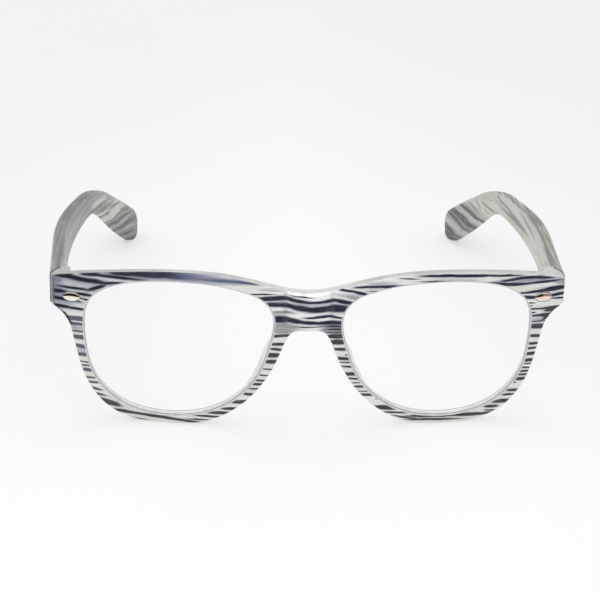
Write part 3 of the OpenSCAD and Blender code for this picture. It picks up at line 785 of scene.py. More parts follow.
def face_line(start, end, swell):
    """Points over the face, half of them on each side of the crease beside the bridge's round."""
    half = 0.5
    crease = crease_u((start[1] + end[1]) / 2, swell)
    if start[1] > 29 and start[0] + 0.3 < crease < end[0] - 0.3:
        half = (crease - start[0]) / (end[0] - start[0])
    line = []
    for k in range(FACE_STEPS + 1):
        f = k / FACE_STEPS
        f = half * f * 2 if f < 0.5 else half + (1 - half) * (f - 0.5) * 2
        u, w = lerp(start[0], end[0], f), lerp(start[1], end[1], f)
        line.append(front_point(u, front_n(u, w, swell), w))
    return line


def back_line(start, end):
    """Points over the flat back."""
    line = []
    for k in range(BACK_STEPS + 1):
        u, w = (lerp(start[q], end[q], k / BACK_STEPS) for q in (0, 1))
        line.append(front_point(u, face_n(u) + THICKNESS, w))
    return line


def rounded_back(place, out, radius, base_u):
    """Points round an edge at the back, from the wall to the flat back."""
    line = []
    for a in TURNS:
        d = radius * (1 - math.cos(a))
        u, w = place[0] + out[0] * d, place[1] + out[1] * d
        base = face_n(u if base_u is None else base_u) + THICKNESS
        line.append(front_point(u, base - radius * (1 - math.sin(a)), w))
    return line


def opening_bands(sizes, place, out, end):
    """The bands of one section round the opening: bevel, thin line and seat painted as shadow, and wall
    to the back.
    """
    u, w = place
    top = front_n(end[0], end[1], sizes["bridge_swell"])
    foot = front_n(u, w, sizes["bridge_swell"]) + sizes["bevel_depth"]
    slope = [front_point(lerp(end[0], u, a), lerp(top, foot, b), lerp(end[1], w, a))
             for a, b in BEVEL_POINTS]
    line = front_point(u, foot + LINE_WIDTH, w)
    seat, shelf = (front_point(u, face_n(u) + depth, w) for depth in (SEAT_FRONT, SEAT_BACK))
    wall = [shelf, *rounded_back(place, out, sizes["inner_edge"], None)]
    return {"bevel": slope[:3], "line": [*slope[2:], line], "seat": [seat, shelf],
            "shelf": [line, seat], "wall": wall}


def outer_bands(sizes, t, start, start_back):
    """The bands of one section round the outer edge: its rounding, the front layer and the back."""
    (u, w), (nu, nw) = outline_at(t), outline_normal(t)
    edge = sizes["front_edge"]
    base = front_n(start[0], start[1], sizes["bridge_swell"])
    rounding = []
    for a in TURNS:
        d = edge * (1 - math.sin(a))
        rounding.append(front_point(u - nu * d, base + edge * (1 - math.cos(a)), w - nw * d))
    layer = front_point(u, face_n(start_back[0]) + LAYER, w)
    outer = [layer, *rounded_back((u, w), (-nu, -nw), sizes["back_edge"], start_back[0])]
    return {"rounding": rounding, "layer": [rounding[-1], layer], "outer": outer}


def half_front(shape):
    """Shell of the right half of the front with its rounded and bevelled edges."""
    names = ("front_edge", "back_edge", "bevel", "bevel_depth", "inner_edge", "bridge_swell")
    sizes = {name: getattr(shape, name) / MM for name in names}
    bands = {name: [] for name in BANDS}
    for k in range((HALF_COUNT + 1) * FINE + 1):
        t = k / FINE
        facing = table(FACING, t)
        start, start_back = (outline_side(t, sizes[name]) for name in ("front_edge", "back_edge"))
        place, out = opening_at(facing), normal_at(opening_at, facing)
        end, end_back = (tuple(place[q] + out[q] * sizes[name] for q in (0, 1))
                         for name in ("bevel", "inner_edge"))
        section = opening_bands(sizes, place, out, end)
        section["face"] = face_line(start, end, sizes["bridge_swell"])
        section["back"] = back_line(end_back, start_back)
        if t <= HALF_COUNT:
            section.update(outer_bands(sizes, t, start, start_back))
        for name, line in section.items():
            bands[name].append(line)
    shell = Shell()
    for name, lines in bands.items():
        rings = [shell.ring(line) for line in lines]
        for a, b in zip(rings, rings[1:]):
            if name == "wall":
                shell.strip(a[:2], b[:2], INNER, closed=False)
                # The wall's rounded back edge carries a soft line of painted shade
                shell.strip(a[1:4], b[1:4], BACK_SHADE_LINE, closed=False)
                shell.strip(a[3:], b[3:], INNER, closed=False)
            else:
                shell.strip(a, b, BANDS[name], closed=False)
    return shell


# The end piece's block: how far it starts behind the face, how far the painted shadow of the seam reaches
# over its top, how far it stays inside the outline, and the last of its strips that doesn't show that
# shadow
BLOCK_FRONT = 1.6
SHADE_REACH = 0.8
INSIDE = 0.01
LAST_PALE = 10
# The stretch of the outline round it, where its inner side is, and the columns and rows of its mesh
BLOCK_STRETCH = (8, 17)
BLOCK_INNER = 65.36
BLOCK_COLUMNS = 32
BLOCK_ROWS = 8


def end_piece(shell):
    """The turned-back block of the right end piece, up to the seam with the temple."""
    first, last = BLOCK_STRETCH
    samples = [outline_at(first + k * 0.01) for k in range((last - first) * 100)]
    peak = max(range(len(samples)), key=lambda k: samples[k][0])
    above, below = samples[:peak + 1], samples[peak:][::-1]
    reach = samples[peak][0] - INSIDE
    columns = []
    for k in range(BLOCK_COLUMNS + 1):
        u = lerp(BLOCK_INNER, reach, math.sin(math.pi / 2 * k / BLOCK_COLUMNS))
        top, low = table(above, u) - INSIDE, table(below, u) + INSIDE
        front, back = face_n(u) + BLOCK_FRONT, seam_n(u)
        column = [front_point(u, front, top), front_point(u, back - SHADE_REACH, top)]
        column += [front_point(u, back, lerp(top, low, j / BLOCK_ROWS)) for j in range(BLOCK_ROWS + 1)]
        column.append(front_point(u, front, low))
        columns.append(shell.ring(column))
    for k, (a, b) in enumerate(zip(columns, columns[1:])):
        shell.strip(a[:2], b[:2], PALE, closed=False)
        # The top strips next to the seam carry painted shadow
        shell.strip(a[1:3], b[1:3], PAINTED_SHADE if k > LAST_PALE else PALE, closed=False)
        shell.strip(a[2:], b[2:], PALE, closed=False)
        shell.strip([a[-1], a[0]], [b[-1], b[0]], PALE, closed=False)
    shell.cap(columns[0], PALE)
    shell.cap(columns[-1], PALE)


# Places and sizes of the right plaque in millimetres. Its keel is low, its rim steeper.
PLAQUE = {"u": 65.25, "w": 38.4, "length": 4.9, "width": 2.8, "sink": 0.3, "rise": 0.49, "rim": 0.21}
PLAQUE_STEPS = 48
# Share of the plaque's half width at which its rim starts
RIM_FROM = 0.7


def plaque_outline(share, spread=0.0):
    """Half width of the pointed oval at a share of its half length."""
    length, width = PLAQUE["length"] + 2 * spread, PLAQUE["width"] + 2 * spread
    radius = (length**2 + width**2) / (4 * width)
    pointed = math.sqrt(max(0.0, radius**2 - (share * length / 2) ** 2)) - (radius - width / 2)
    return lerp(pointed, width / 2 * math.sqrt(max(0.0, 1 - share**2)), 0.5)


def crown_height(across):
    """Height of the plaque's section: a low keel in the middle and a steeper rim."""
    if across < RIM_FROM:
        return PLAQUE["rim"] + (PLAQUE["rise"] - PLAQUE["rim"]) * (1 - (across / RIM_FROM) ** 1.15)
    return PLAQUE["rim"] * (1 - ((across - RIM_FROM) / (1 - RIM_FROM)) ** 1.3)


def on_plaque(along_it, up, ahead):
    """World place from a place on the right plaque: along it, up, and ahead of the face."""
    u0 = PLAQUE["u"]
    angle = math.asin(u0 / BEND_RADIUS)
    u = u0 + along_it * math.cos(angle) + ahead * math.sin(angle)
    n = face_n(u0) + along_it * math.sin(angle) - ahead * math.cos(angle)
    return on_front(u, n, PLAQUE["w"] * TALL + up)


def plaque_shell(side):
    """Shell of one plaque: a pointed oval with a low keel, sunk a little into the face."""
    shell = Shell()
    rows = 16
    rings = []
    for k in range(PLAQUE_STEPS + 1):
        share = -math.cos(math.pi * k / PLAQUE_STEPS)
        half = plaque_outline(share * 0.999)
        a = share * PLAQUE["length"] / 2
        crown = (2 * half / PLAQUE["width"]) ** 0.8
        line = [(a, -half, -PLAQUE["sink"])]
        for j in range(2 * rows + 1):
            across = math.sin(math.pi / 2 * (j - rows) / rows)
            line.append((a, half * across, crown * crown_height(abs(across))))
        line.append((a, half, -PLAQUE["sink"]))
        rings.append(shell.ring([(side * x, y, z) for x, y, z in (on_plaque(*p) for p in line)]))
    for a, b in zip(rings, rings[1:]):
        shell.strip(a, b)
    return shell


def plaque_shadow_ring(shell):
    """Thin line of painted shadow on the face, where the right plaque sinks into it."""
    rings = []
    for spread in (-0.12, 0.18):
        half = (PLAQUE["length"] + 2 * spread) / 2
        line = []
        for sign in (1, -1):
            for k in range(PLAQUE_STEPS):
                share = sign * -math.cos(math.pi * k / PLAQUE_STEPS)
                line.append(on_plaque(share * half, sign * plaque_outline(share, spread) + 0.05, 0.012))
        rings.append(shell.ring(line))
    shell.strip(rings[0], rings[1], PAINTED_SHADE)


# Middle of the bar beside the nose: height, distance from the middle
BAR_MIDDLE = [
    (4.5, 24.2), (7, 20.4), (11.5, 15.7), (17, 11.9), (23.2, 9.5), (26, 8.6), (29.5, 7.6), (31.2, 7.4),
]
# Heights between which the nose pad lies, where it starts behind the face, and its least half
# width and reach, in millimetres
PAD_LOW, PAD_HIGH = 9.0, 31.2
PAD_START = 1.4
PAD_LEAST = 0.7
# How far it reaches behind the back of the front, and the depth that its reach is counted from
PAD_BEHIND = 4.4
PAD_SUNK = 2.2
PAD_REACH = THICKNESS - PAD_SUNK + PAD_BEHIND
PAD_RINGS = 40
PAD_SIDES = 24


def nose_pad(shell):
    """Moulded pad on the back of the nasal bar: half rounds that swell and fade again."""
    rings = []
    for k in range(PAD_RINGS + 1):
        t = k / PAD_RINGS
        w = lerp(PAD_LOW, PAD_HIGH, t)
        full = max(0.0, math.sin(math.pi * t ** 1.1)) ** 0.62
        half = PAD_LEAST + 0.8 * full
        reach = PAD_LEAST + PAD_REACH * full
        u = table(BAR_MIDDLE, w)
        line = []
        for j in range(PAD_SIDES + 1):
            a = math.pi * j / PAD_SIDES
            x = u - half * math.cos(a) + 0.2 * reach * math.sin(a) * full
            line.append(front_point(x, face_n(u) + PAD_START + reach * math.sin(a), w))
        rings.append(shell.ring(line))
    for a, b in zip(rings, rings[1:]):
        shell.strip(a, b, INNER)
    shell.cap(rings[0], INNER)
    shell.cap(rings[-1], INNER)


# Shape of the temples

# Place and sizes of the right temple in millimetres, from its hinge end to its rounded tip
TEMPLE_START = 5.0
TEMPLE_TOP = 39.77 * TALL
TEMPLE_OUTER = 71.27
TEMPLE_LENGTH = 145.0
TEMPLE_THICK = 4.2
TEMPLE_HEIGHT = 9.8
WAIST_HEIGHT = 7.0
TIP_HEIGHT = 10.9
# The bend behind the ear: where it starts, its radius and its angle
BEND_START = 90.0
EAR_RADIUS = 52.0
TIP_BEND = math.radians(27.6)
BEND_ARC = EAR_RADIUS * TIP_BEND
# The length of the rounded tip, and where it starts
TIP_ROUND = TIP_HEIGHT * 0.36
ARM_END = TEMPLE_LENGTH - TIP_ROUND
# The temple gets slimmer from one place to the next, and then wider again towards its tip
SLIM = (50, 96)
WIDEN = (BEND_START + 9, ARM_END - 4)
# It gets a little thinner between two places
THIN = (68, 140)
THIN_BY = 0.4
# It leaves the front a little splayed, and curves inward behind the ear
SPLAY = 0.039
INWARD_FROM = 41
INWARD = 0.0021
CORNER = 1.25
# The temple's heights are counted from 0.12 mm under the table, where its tip is flattened
TEMPLE_DROP = -0.12


def temple_slope():
    """Slope of the straight part for which the tip meets the table."""
    def lowest(slope):
        bent = slope + TIP_BEND
        return (TEMPLE_TOP - BEND_START * math.sin(slope)
                - EAR_RADIUS * (math.cos(slope) - math.cos(bent))
                - (ARM_END - BEND_START - BEND_ARC) * math.sin(bent)
                - math.hypot(TIP_ROUND * math.sin(bent), TIP_HEIGHT / 2 * math.cos(bent)))

    low, high = 0.0, math.radians(20)
    for _ in range(24):
        mid = (low + high) / 2
        low, high = (mid, high) if lowest(mid) > 0 else (low, mid)
    return low


SLOPE = temple_slope()


def temple_line(s):
    """Slope, length and height of the temple's centre line at distance s."""
    if s < BEND_START:
        return SLOPE, TEMPLE_START + s * math.cos(SLOPE), TEMPLE_TOP - s * math.sin(SLOPE)
    angle = SLOPE + min(TIP_BEND, (s - BEND_START) / EAR_RADIUS)
    rest = max(0.0, s - BEND_START - BEND_ARC)
    y = (BEND_START * math.cos(SLOPE) + EAR_RADIUS * (math.sin(angle) - math.sin(SLOPE))
         + rest * math.cos(SLOPE + TIP_BEND))
    z = (BEND_START * math.sin(SLOPE) + EAR_RADIUS * (math.cos(SLOPE) - math.cos(angle))
         + rest * math.sin(SLOPE + TIP_BEND))
    return angle, TEMPLE_START + y, TEMPLE_TOP - z


def between(span, s):
    """Soft rise from 0 to 1 over a span of distances."""
    return ease((s - span[0]) / (span[1] - span[0]))


def temple_section(s, shrink=0.0):
    """Rounded section of the right temple at s, as places (x, y, z) in millimetres."""
    angle, y, z = temple_line(s)
    share = math.sqrt(max(0.0004, 1 - max(0.0, (s - ARM_END) / TIP_ROUND) ** 2))
    thick = TEMPLE_THICK - THIN_BY * between(THIN, s)
    if s < ARM_END:
        high = (TEMPLE_HEIGHT + (WAIST_HEIGHT - TEMPLE_HEIGHT) * between(SLIM, s)
                + (TIP_HEIGHT - WAIST_HEIGHT) * between(WIDEN, s))
    else:
        high = TIP_HEIGHT * share
        thick = min(thick, 0.5 * high + 1.3 * share)
    corner = max(0.15, min(CORNER, thick * 0.46, high * 0.46) - shrink)
    high, thick = high - 2 * shrink, thick - 2 * shrink
    outer = TEMPLE_OUTER + SPLAY * (y - TEMPLE_START) - INWARD * max(0.0, y - INWARD_FROM) ** 2
    middle = outer - TEMPLE_THICK / 2
    places = []
    for sx, sv, turn in ((1, 1, 0), (-1, 1, 90), (-1, -1, 180), (1, -1, 270)):
        for k in range(8):
            b = math.radians(turn + 90 * k / 7)
            x = sx * (thick / 2 - corner) + corner * math.cos(b)
            v = sv * (high / 2 - corner) + corner * math.sin(b)
            places.append((middle + x, y + v * math.sin(angle), z + v * math.cos(angle)))
    return places


def at_seam(place, gap):
    """Moves a place of the temple along its line until it stands the gap behind the seam."""
    x, y, z = place
    slope = math.tan(SLOPE)
    for _ in range(30):
        n = y * math.cos(LEAN) + (z - SHIFT_Z + TEMPLE_DROP) * math.sin(LEAN)
        step = seam_n(x) + gap - n
        if abs(step) < 1e-4:
            break
        x, y, z = x + step * SPLAY, y + step, z - step * slope
    return (x, y, z)


def temple_place(place):
    """World place, in metres, of a place of the right temple."""
    x, y, z = place
    return (x * MM, (y + SHIFT_Y) * MM, max(0.0, z + TEMPLE_DROP) * MM)


# The rounded rim of the temple's cut end, painted dark as the shadow in the gap: gaps behind the seam,
# and how far the section is set in
JOINT_GAP = 0.2
CUT_RIM = ((JOINT_GAP, 0.26), (0.45, 0.1), (0.75, 0.0))
# Shares of the cut end's size at which its face has its rings
CUT_FACE = (0.06, 0.25, 0.5, 0.75)
# Distances at which the rings start behind the cut end, and at which they lie closer together
RINGS_FROM = 9.5
CLOSER_FROM = BEND_START - 3.5
# How many rings there are before that, up to the rounded tip and on it, and how far they go round it
RINGS, CLOSER_RINGS, TIP_RINGS = 40, 56, 14
TIP_TURN = 88
# Material numbers of a temple
TEMPLE_STREAKED, TEMPLE_PAINTED_SHADE, TEMPLE_END = range(3)


def temple_shell(side):
    """Shell of one temple from the seam to its rounded tip."""
    stations = [lerp(RINGS_FROM, CLOSER_FROM, k / RINGS) for k in range(RINGS)]
    stations += [lerp(CLOSER_FROM, ARM_END, k / CLOSER_RINGS) for k in range(CLOSER_RINGS + 1)]
    stations += [ARM_END + TIP_ROUND * math.sin(math.radians(k * TIP_TURN / TIP_RINGS))
                 for k in range(1, TIP_RINGS + 1)]
    rim = [[at_seam(p, gap) for p in temple_section(6.0, shrink)] for gap, shrink in CUT_RIM]
    centre = tuple(sum(p[q] for p in rim[0]) / len(rim[0]) for q in range(3))
    face = [[at_seam(tuple(lerp(centre[q], p[q], share) for q in range(3)), JOINT_GAP) for p in rim[0]]
            for share in CUT_FACE]
    lines = face + rim + [temple_section(s) for s in stations]
    shell = Shell()
    rings = [shell.ring([(side * x, y, z) for x, y, z in (temple_place(p) for p in line)])
             for line in lines]
    # The rim next to the seam is painted dark as the shadow in the gap
    finishes = [TEMPLE_END] * len(face) + [TEMPLE_PAINTED_SHADE] * (len(rim) - 1)
    finishes += [TEMPLE_STREAKED] * len(stations)
    for a, b, finish in zip(rings, rings[1:], finishes):
        shell.strip(a, b, finish)
    shell.cap(rings[0], TEMPLE_END)
    shell.cap(rings[-1], TEMPLE_STREAKED)
    return shell


# The add-on


def colour(name, description, value):
    return bpy.props.FloatVectorProperty(
        name=name, description=description, default=value, min=0.0, max=1.0, size=3, subtype="COLOR")


def length(name, description, value):
    return bpy.props.FloatProperty(
        name=name, description=description, default=value, unit="LENGTH", subtype="DISTANCE")


class EyeglassesShape(bpy.types.PropertyGroup):
    """Sizes of the edges that the plastic is polished to."""

    front_edge: length("Front edge", "Rounding of the outer edge of the face", 0.00035)
    back_edge: length("Back edge", "Rounding of the outer edge of the back", 0.0007)
    bevel: length("Bevel", "Width of the bevel round each opening", 0.0005)
    bevel_depth: length("Bevel depth", "Depth of the bevel round each opening", 0.0004)
    inner_edge: length("Inner edge", "Rounding of the opening's edge at the back", 0.0011)
    bridge_swell: length("Bridge swell", "How far the bridge swells forward", 0.0013)


class EyeglassesLook(bpy.types.PropertyGroup):
    """Colours of the plastic, the lenses and the metal."""

    pale: colour("Pale", "Pale ground of the front", (0.83, 0.845, 0.82))
    pale_warm: colour("Pale warm", "Warmer clouds in the pale ground", (0.72, 0.73, 0.66))
    pale_grey: colour("Pale grey", "Greyer clouds in the pale ground", (0.45, 0.47, 0.49))
    haze: colour("Haze", "Lavender haze round the streaks", (0.36, 0.38, 0.46))
    cloud: colour("Cloud", "Greenish grey clouds low on the bridge", (0.24, 0.255, 0.255))
    blue: colour("Blue", "Lighter part of the blue streaks", (0.036, 0.042, 0.075))
    blue_dark: colour("Dark blue", "Darkest part of the blue streaks", (0.006, 0.008, 0.017))
    slate: colour("Slate", "Slate blue that the brow's big streak fades to", (0.10, 0.12, 0.21))
    dusk: colour("Dusk", "Dark grey clouds at the bridge's foot and the left end", (0.14, 0.155, 0.19))
    bright: colour("Bright", "Brightest ground, in the middle of the bridge", (0.96, 0.965, 0.93))
    coal: colour("Charcoal", "Lighter part of the charcoal streaks", (0.075, 0.077, 0.09))
    coal_dark: colour("Dark charcoal", "Darkest part of the charcoal streaks", (0.03, 0.03, 0.036))
    coal_soft: colour("Soft charcoal", "Charcoal streaks of the left bar", (0.14, 0.145, 0.18))
    edge: colour("Edge", "Plastic of the edges and the back", (0.55, 0.56, 0.535))
    edge_grey: colour("Edge grey", "Greyer clouds of the edges and the back", (0.42, 0.435, 0.43))
    inner: colour("Inner walls", "Plastic of the openings' walls and the pads", (0.86, 0.87, 0.86))
    inner_grey: colour("Inner walls grey", "Greyer clouds of the walls and the pads", (0.72, 0.73, 0.73))
    bevel_pale: colour("Bevel pale", "Pale part of the bevels", (0.72, 0.73, 0.73))
    bevel_grey: colour("Bevel grey", "Greyer part of the bevels", (0.56, 0.57, 0.58))
    # Painted shadow at a bevel's foot and where the lens sits
    shadow_line_dark: colour("Line dark", "Thin line at the foot of a bevel", (0.13, 0.13, 0.15))
    # This colour and the next paint shade along the rounded back edge of each opening
    back_shade_line: colour("Back line", "Soft line along the back edge of an opening", (0.12, 0.125, 0.14))
    back_shade_pale: colour("Back line pale", "Paler part of the soft line", (0.30, 0.31, 0.33))
    # Paler part of the painted shadow at a bevel's foot and where the lens sits
    shadow_line_grey: colour("Line grey", "Paler part of the thin line", (0.24, 0.24, 0.26))
    # Painted shade of the left end's outer side
    edge_shade: colour("Edge shade", "Grey of the left end's outer side", (0.30, 0.32, 0.32))
    # These two colours paint the shade inside the joints: the gap at each seam and the ring round each
    # plaque
    cut: colour("Cut faces", "Faces inside the joints", (0.03, 0.03, 0.032))
    painted_shade_grey: colour("Cut faces grey", "Paler part of the faces inside the joints", (0.06, 0.06, 0.06))
    grey: colour("Left temple", "Grey ground of the left temple", (0.285, 0.285, 0.285))
    grey_light: colour("Left temple light", "Lighter clouds of the left temple", (0.36, 0.36, 0.355))
    olive: colour("Right temple", "Olive ground of the right temple", (0.50, 0.49, 0.425))
    olive_light: colour("Right temple light", "Lighter clouds of the right temple", (0.58, 0.575, 0.52))
    ash: colour("Ash", "Soft dark streaks of the temples", (0.165, 0.165, 0.155))
    smoke: colour("Smoke", "Bluish dark bands of the temple tips", (0.07, 0.077, 0.09))
    mist: colour("Mist", "Pale bluish bands between them", (0.46, 0.48, 0.51))
    cream: colour("Cream", "Palest clouds of the temples", (0.64, 0.65, 0.58))
    lens: colour("Lens", "Tint of the clear lenses", (0.93, 0.96, 0.96))
    lens_veil: bpy.props.FloatProperty(
        name="Lens veil", description="How much of the lens shows", default=0.03, min=0.0, max=1.0)
    steel: colour("Steel", "Steel of the hinges", (0.62, 0.62, 0.63))
    steel_dark: colour("Steel dark", "Darker clouds of the steel", (0.48, 0.48, 0.50))
    plaque_cool: colour("Left plaque", "Metal of the left plaque", (0.93, 0.88, 0.78))
    plaque_warm: colour("Right plaque", "Metal of the right plaque", (0.93, 0.76, 0.68))


class EyeglassesStage(bpy.types.PropertyGroup):
    """Table, light and camera."""

    table: colour("Table", "Colour of the table", (0.38, 0.38, 0.38))
    glow: colour("Glow", "Light that the table gives by itself near the glasses", (0.545, 0.545, 0.545))
    glow_far: colour("Far glow", "Light that the table gives farther back", (0.46, 0.46, 0.46))
    table_size: length("Table size", "Length of the table's side", 6.0)
    soft_light: bpy.props.FloatProperty(
        name="Soft light", description="Power of the big soft light above",
        default=3.4, min=0.0, unit="POWER")
    front_light: bpy.props.FloatProperty(
        name="Front light", description="Power of the soft light in front",
        default=1.2, min=0.0, unit="POWER")
    sky: bpy.props.FloatProperty(
        name="Sky", description="Strength of the tent's light above", default=1.05, min=0.0)
    sky_low: bpy.props.FloatProperty(
        name="Low sky", description="Strength of the tent's light near the table", default=0.22, min=0.0)
    camera_distance: length("Camera distance", "Distance of the camera from its aim", 0.6692)
    camera_height: bpy.props.FloatProperty(
        name="Camera height", description="Angle of the view above the table",
        default=math.radians(23.81), subtype="ANGLE", unit="ROTATION")
    camera_turn: bpy.props.FloatProperty(
        name="Camera turn", description="Turn of the view round the glasses",
        default=math.radians(-2.29), subtype="ANGLE", unit="ROTATION")
    camera_roll: bpy.props.FloatProperty(
        name="Camera roll", description="Roll of the picture",
        default=math.radians(-0.97), subtype="ANGLE", unit="ROTATION")
    camera_lens: bpy.props.FloatProperty(
        name="Lens", description="Focal length of the camera, in millimetres", default=145.97, min=10.0)


def dress(node, material):
    """Gives a CAD node a material."""
    for spot in frame["nodes"][node].material_slots:
        spot.material = material


def light_tent(stage):
    """Light tent: bright above, dimmer towards the table's edge, a dark card behind the camera for
    shiny things to mirror, and plain white where the camera itself looks."""
    world = bpy.data.worlds.new("even_light")
    shade = Shade(world)
    way = shade.node("ShaderNodeTexCoord", {}, {}, "Generated")
    height = shade.part(way, "Z")
    path = "ShaderNodeLightPath"
    seen = shade.node(path, {}, {}, "Is Camera Ray")
    mirrored = shade.node(path, {}, {}, "Is Glossy Ray")
    card = (height.step(-0.03, 0.0) * height.step(0.3, 0.24) * shade.part(way, "Y").step(-0.3, -0.4)
            * shade.part(way, "X").step(0.42, 0.34))
    level = height.step(-0.05, 0.75, stage.sky_low, stage.sky)
    level = level * (1.0 - card * mirrored * 0.97)
    level = level + (1.0 - level) * seen
    back = shade.node("ShaderNodeBackground", {}, {"Color": (1.0, 1.0, 1.0, 1.0), "Strength": level})
    shade.node("ShaderNodeOutputWorld", {}, {"Surface": back}, None)
    return world


def add_table(scene, stage):
    """Makes the flat table top."""
    half = stage.table_size / 2
    mesh = bpy.data.meshes.new("table")
    corners = [(-half, -half, 0), (half, -half, 0), (half, half, 0), (-half, half, 0)]
    mesh.from_pydata(corners, [], [(0, 1, 2, 3)])
    mesh.materials.append(table_top(stage))
    piece = bpy.data.objects.new("table", mesh)
    scene.collection.objects.link(piece)


def add_lights(scene, stage):
    """Makes the big soft light above, and the one in front that shiny things don't mirror."""
    for name, power, place, size, mirrored in (
            ("soft_light", stage.soft_light, (-0.25, 0.1, 1.1), 1.4, True),
            ("front_light", stage.front_light, (0.2, -1.1, 0.6), 1.0, False)):
        light = bpy.data.lights.new(name, "AREA")
        light.energy, light.size = power, size
        lamp = bpy.data.objects.new(name, light)
        lamp.location = place
        lamp.rotation_euler = (-Vector(place)).to_track_quat("-Z", "Y").to_euler()
        lamp.visible_glossy = mirrored
        scene.collection.objects.link(lamp)


# Place that the camera looks at, in metres
CAMERA_AIM = Vector((-0.00237, -0.0693177, 0.03861))


def add_camera(scene, stage):
    """Makes the camera and sets it as the scene's own."""
    turn, height, roll = stage.camera_turn, stage.camera_height, stage.camera_roll
    back_way = Vector((math.sin(turn) * math.cos(height), -math.cos(turn) * math.cos(height),
                       math.sin(height)))
    right = Vector((math.cos(turn), math.sin(turn), 0.0))
    up = right.cross(-back_way)
    x_axis = right * math.cos(roll) - up * math.sin(roll)
    y_axis = right * math.sin(roll) + up * math.cos(roll)
    view = bpy.data.cameras.new("view")
    view.lens = stage.camera_lens
    camera = bpy.data.objects.new("view", view)
    turned = Matrix((x_axis, y_axis, back_way)).transposed().to_4x4()
    camera.matrix_world = Matrix.Translation(CAMERA_AIM + back_way * stage.camera_distance) @ turned
    scene.collection.objects.link(camera)
    scene.camera = camera


class EYEGLASSES_OT_front(bpy.types.Operator):
    """Makes the streaked front with its rims, bridge, end pieces and nose pads"""

    bl_idname = "eyeglasses.front"
    bl_label = "Front"

    def execute(self, context):
        look, shape = context.scene.eyeglasses_look, context.scene.eyeglasses_shape
        shell = half_front(shape)
        end_piece(shell)
        nose_pad(shell)
        plaque_shadow_ring(shell)
        shell.mirror()
        finishes = [streaked_plastic(look), pale_plastic(look),
                    bevel_plastic("bevel_plastic", look.bevel_pale, look.bevel_grey),
                    # Painted shadow at a bevel's foot and where the lens sits
                    bevel_plastic("seat_shadow_line", look.shadow_line_dark, look.shadow_line_grey),
                    # Painted shade inside the joints
                    bevel_plastic("painted_shade_plastic", look.cut, look.painted_shade_grey),
                    bevel_plastic("inner_plastic", look.inner, look.inner_grey),
                    # Painted shade along the rounded back edge of each opening
                    bevel_plastic("back_line", look.back_shade_line, look.back_shade_pale)]
        piece = shell.build("streaked_front", finishes, 35)
        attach(piece, "front")
        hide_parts("front_frame")
        return {"FINISHED"}


class EYEGLASSES_OT_temples(bpy.types.Operator):
    """Makes the two temples with their bent tips"""

    bl_idname = "eyeglasses.temples"
    bl_label = "Temples"

    def execute(self, context):
        look = context.scene.eyeglasses_look
        for name, side in (("left", -1), ("right", 1)):
            material = temple_plastic(look, f"temple_plastic_{name}", side)
            # Painted shade on the rim next to the seam
            finishes = [material, bevel_plastic(f"painted_shade_plastic_{name}", look.cut, look.painted_shade_grey),
                        bevel_plastic(f"end_plastic_{name}", look.grey_light, look.olive_light)]
            piece = temple_shell(side).build(f"streaked_temple_{name}", finishes, 40)
            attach(piece, f"{name}_arm")
            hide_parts(f"temple_{name}")
        return {"FINISHED"}


class EYEGLASSES_OT_lenses(bpy.types.Operator):
    """Gives the two lenses their clear material"""

    bl_idname = "eyeglasses.lenses"
    bl_label = "Lenses"

    def execute(self, context):
        material = clear_lens(context.scene.eyeglasses_look)
        for name in ("left", "right"):
            dress(f"lens_{name}", material)
        return {"FINISHED"}


class EYEGLASSES_OT_metal(bpy.types.Operator):
    """Gives the hinge leaves, the screws and the plaques their metal"""

    bl_idname = "eyeglasses.metal"
    bl_label = "Hinges and plaques"

    def execute(self, context):
        look = context.scene.eyeglasses_look
        leaf = brushed_steel(look, "hinge_steel", 3.0, 0.28)
        screw = brushed_steel(look, "screw_steel", 0.6, 0.22)
        for name in ("left", "right"):
            dress(f"front_leaf_{name}", leaf)
            dress(f"temple_leaf_{name}", leaf)
            dress(f"hinge_screw_{name}", screw)
        for name, side, metal in (("left", -1, look.plaque_cool), ("right", 1, look.plaque_warm)):
            finish = plaque_metal(f"plaque_metal_{name}", metal)
            piece = plaque_shell(side).build(f"domed_plaque_{name}", [finish], 50)
            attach(piece, "front")
            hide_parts(f"plaque_{name}")
        return {"FINISHED"}


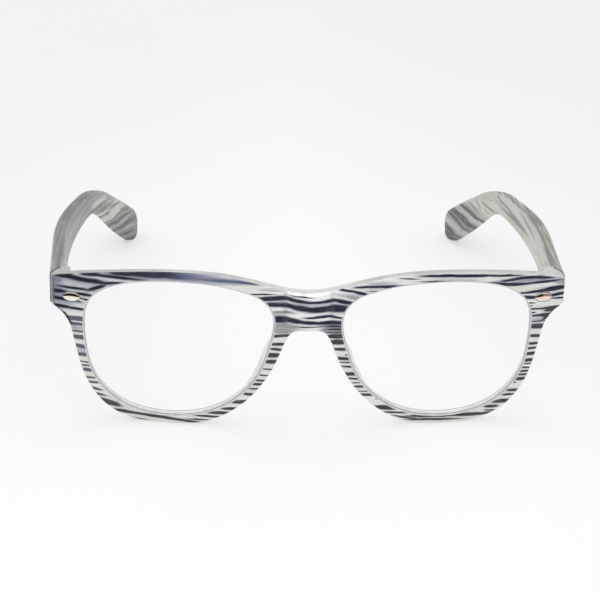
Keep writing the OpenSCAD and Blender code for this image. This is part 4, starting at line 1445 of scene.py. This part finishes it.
class EYEGLASSES_OT_stage(bpy.types.Operator):
    """Makes the pale table, the soft lights and the camera"""

    bl_idname = "eyeglasses.stage"
    bl_label = "Stage"

    def execute(self, context):
        scene, stage = context.scene, context.scene.eyeglasses_stage
        add_table(scene, stage)
        add_lights(scene, stage)
        scene.world = light_tent(stage)
        scene.view_settings.view_transform = "Standard"
        add_camera(scene, stage)
        return {"FINISHED"}


class EYEGLASSES_PT_panel(bpy.types.Panel):
    """Lists the pieces of the eyeglasses and their sizes and colours"""

    bl_idname = "EYEGLASSES_PT_panel"
    bl_label = "Eyeglasses"
    bl_space_type = "VIEW_3D"
    bl_region_type = "UI"
    bl_category = "Eyeglasses"

    def draw(self, context):
        layout = self.layout
        for operator in OPERATORS:
            layout.operator(operator.bl_idname)
        for title, group in (("Shape", context.scene.eyeglasses_shape),
                             ("Look", context.scene.eyeglasses_look),
                             ("Stage", context.scene.eyeglasses_stage)):
            box = layout.box()
            box.label(text=title)
            for name in group.__annotations__:
                box.prop(group, name)


OPERATORS = (EYEGLASSES_OT_stage, EYEGLASSES_OT_front, EYEGLASSES_OT_temples, EYEGLASSES_OT_lenses,
             EYEGLASSES_OT_metal)
CLASSES = (EyeglassesShape, EyeglassesLook, EyeglassesStage, *OPERATORS, EYEGLASSES_PT_panel)


def register():
    for kind in CLASSES:
        bpy.utils.register_class(kind)
    bpy.types.Scene.eyeglasses_shape = bpy.props.PointerProperty(type=EyeglassesShape)
    bpy.types.Scene.eyeglasses_look = bpy.props.PointerProperty(type=EyeglassesLook)
    bpy.types.Scene.eyeglasses_stage = bpy.props.PointerProperty(type=EyeglassesStage)


def unregister():
    del bpy.types.Scene.eyeglasses_stage
    del bpy.types.Scene.eyeglasses_look
    del bpy.types.Scene.eyeglasses_shape
    for kind in reversed(CLASSES):
        bpy.utils.unregister_class(kind)


def main():
    register()
    bpy.ops.eyeglasses.stage()
    bpy.ops.eyeglasses.front()
    bpy.ops.eyeglasses.temples()
    bpy.ops.eyeglasses.lenses()
    bpy.ops.eyeglasses.metal()


if __name__ == "__main__":
    main()
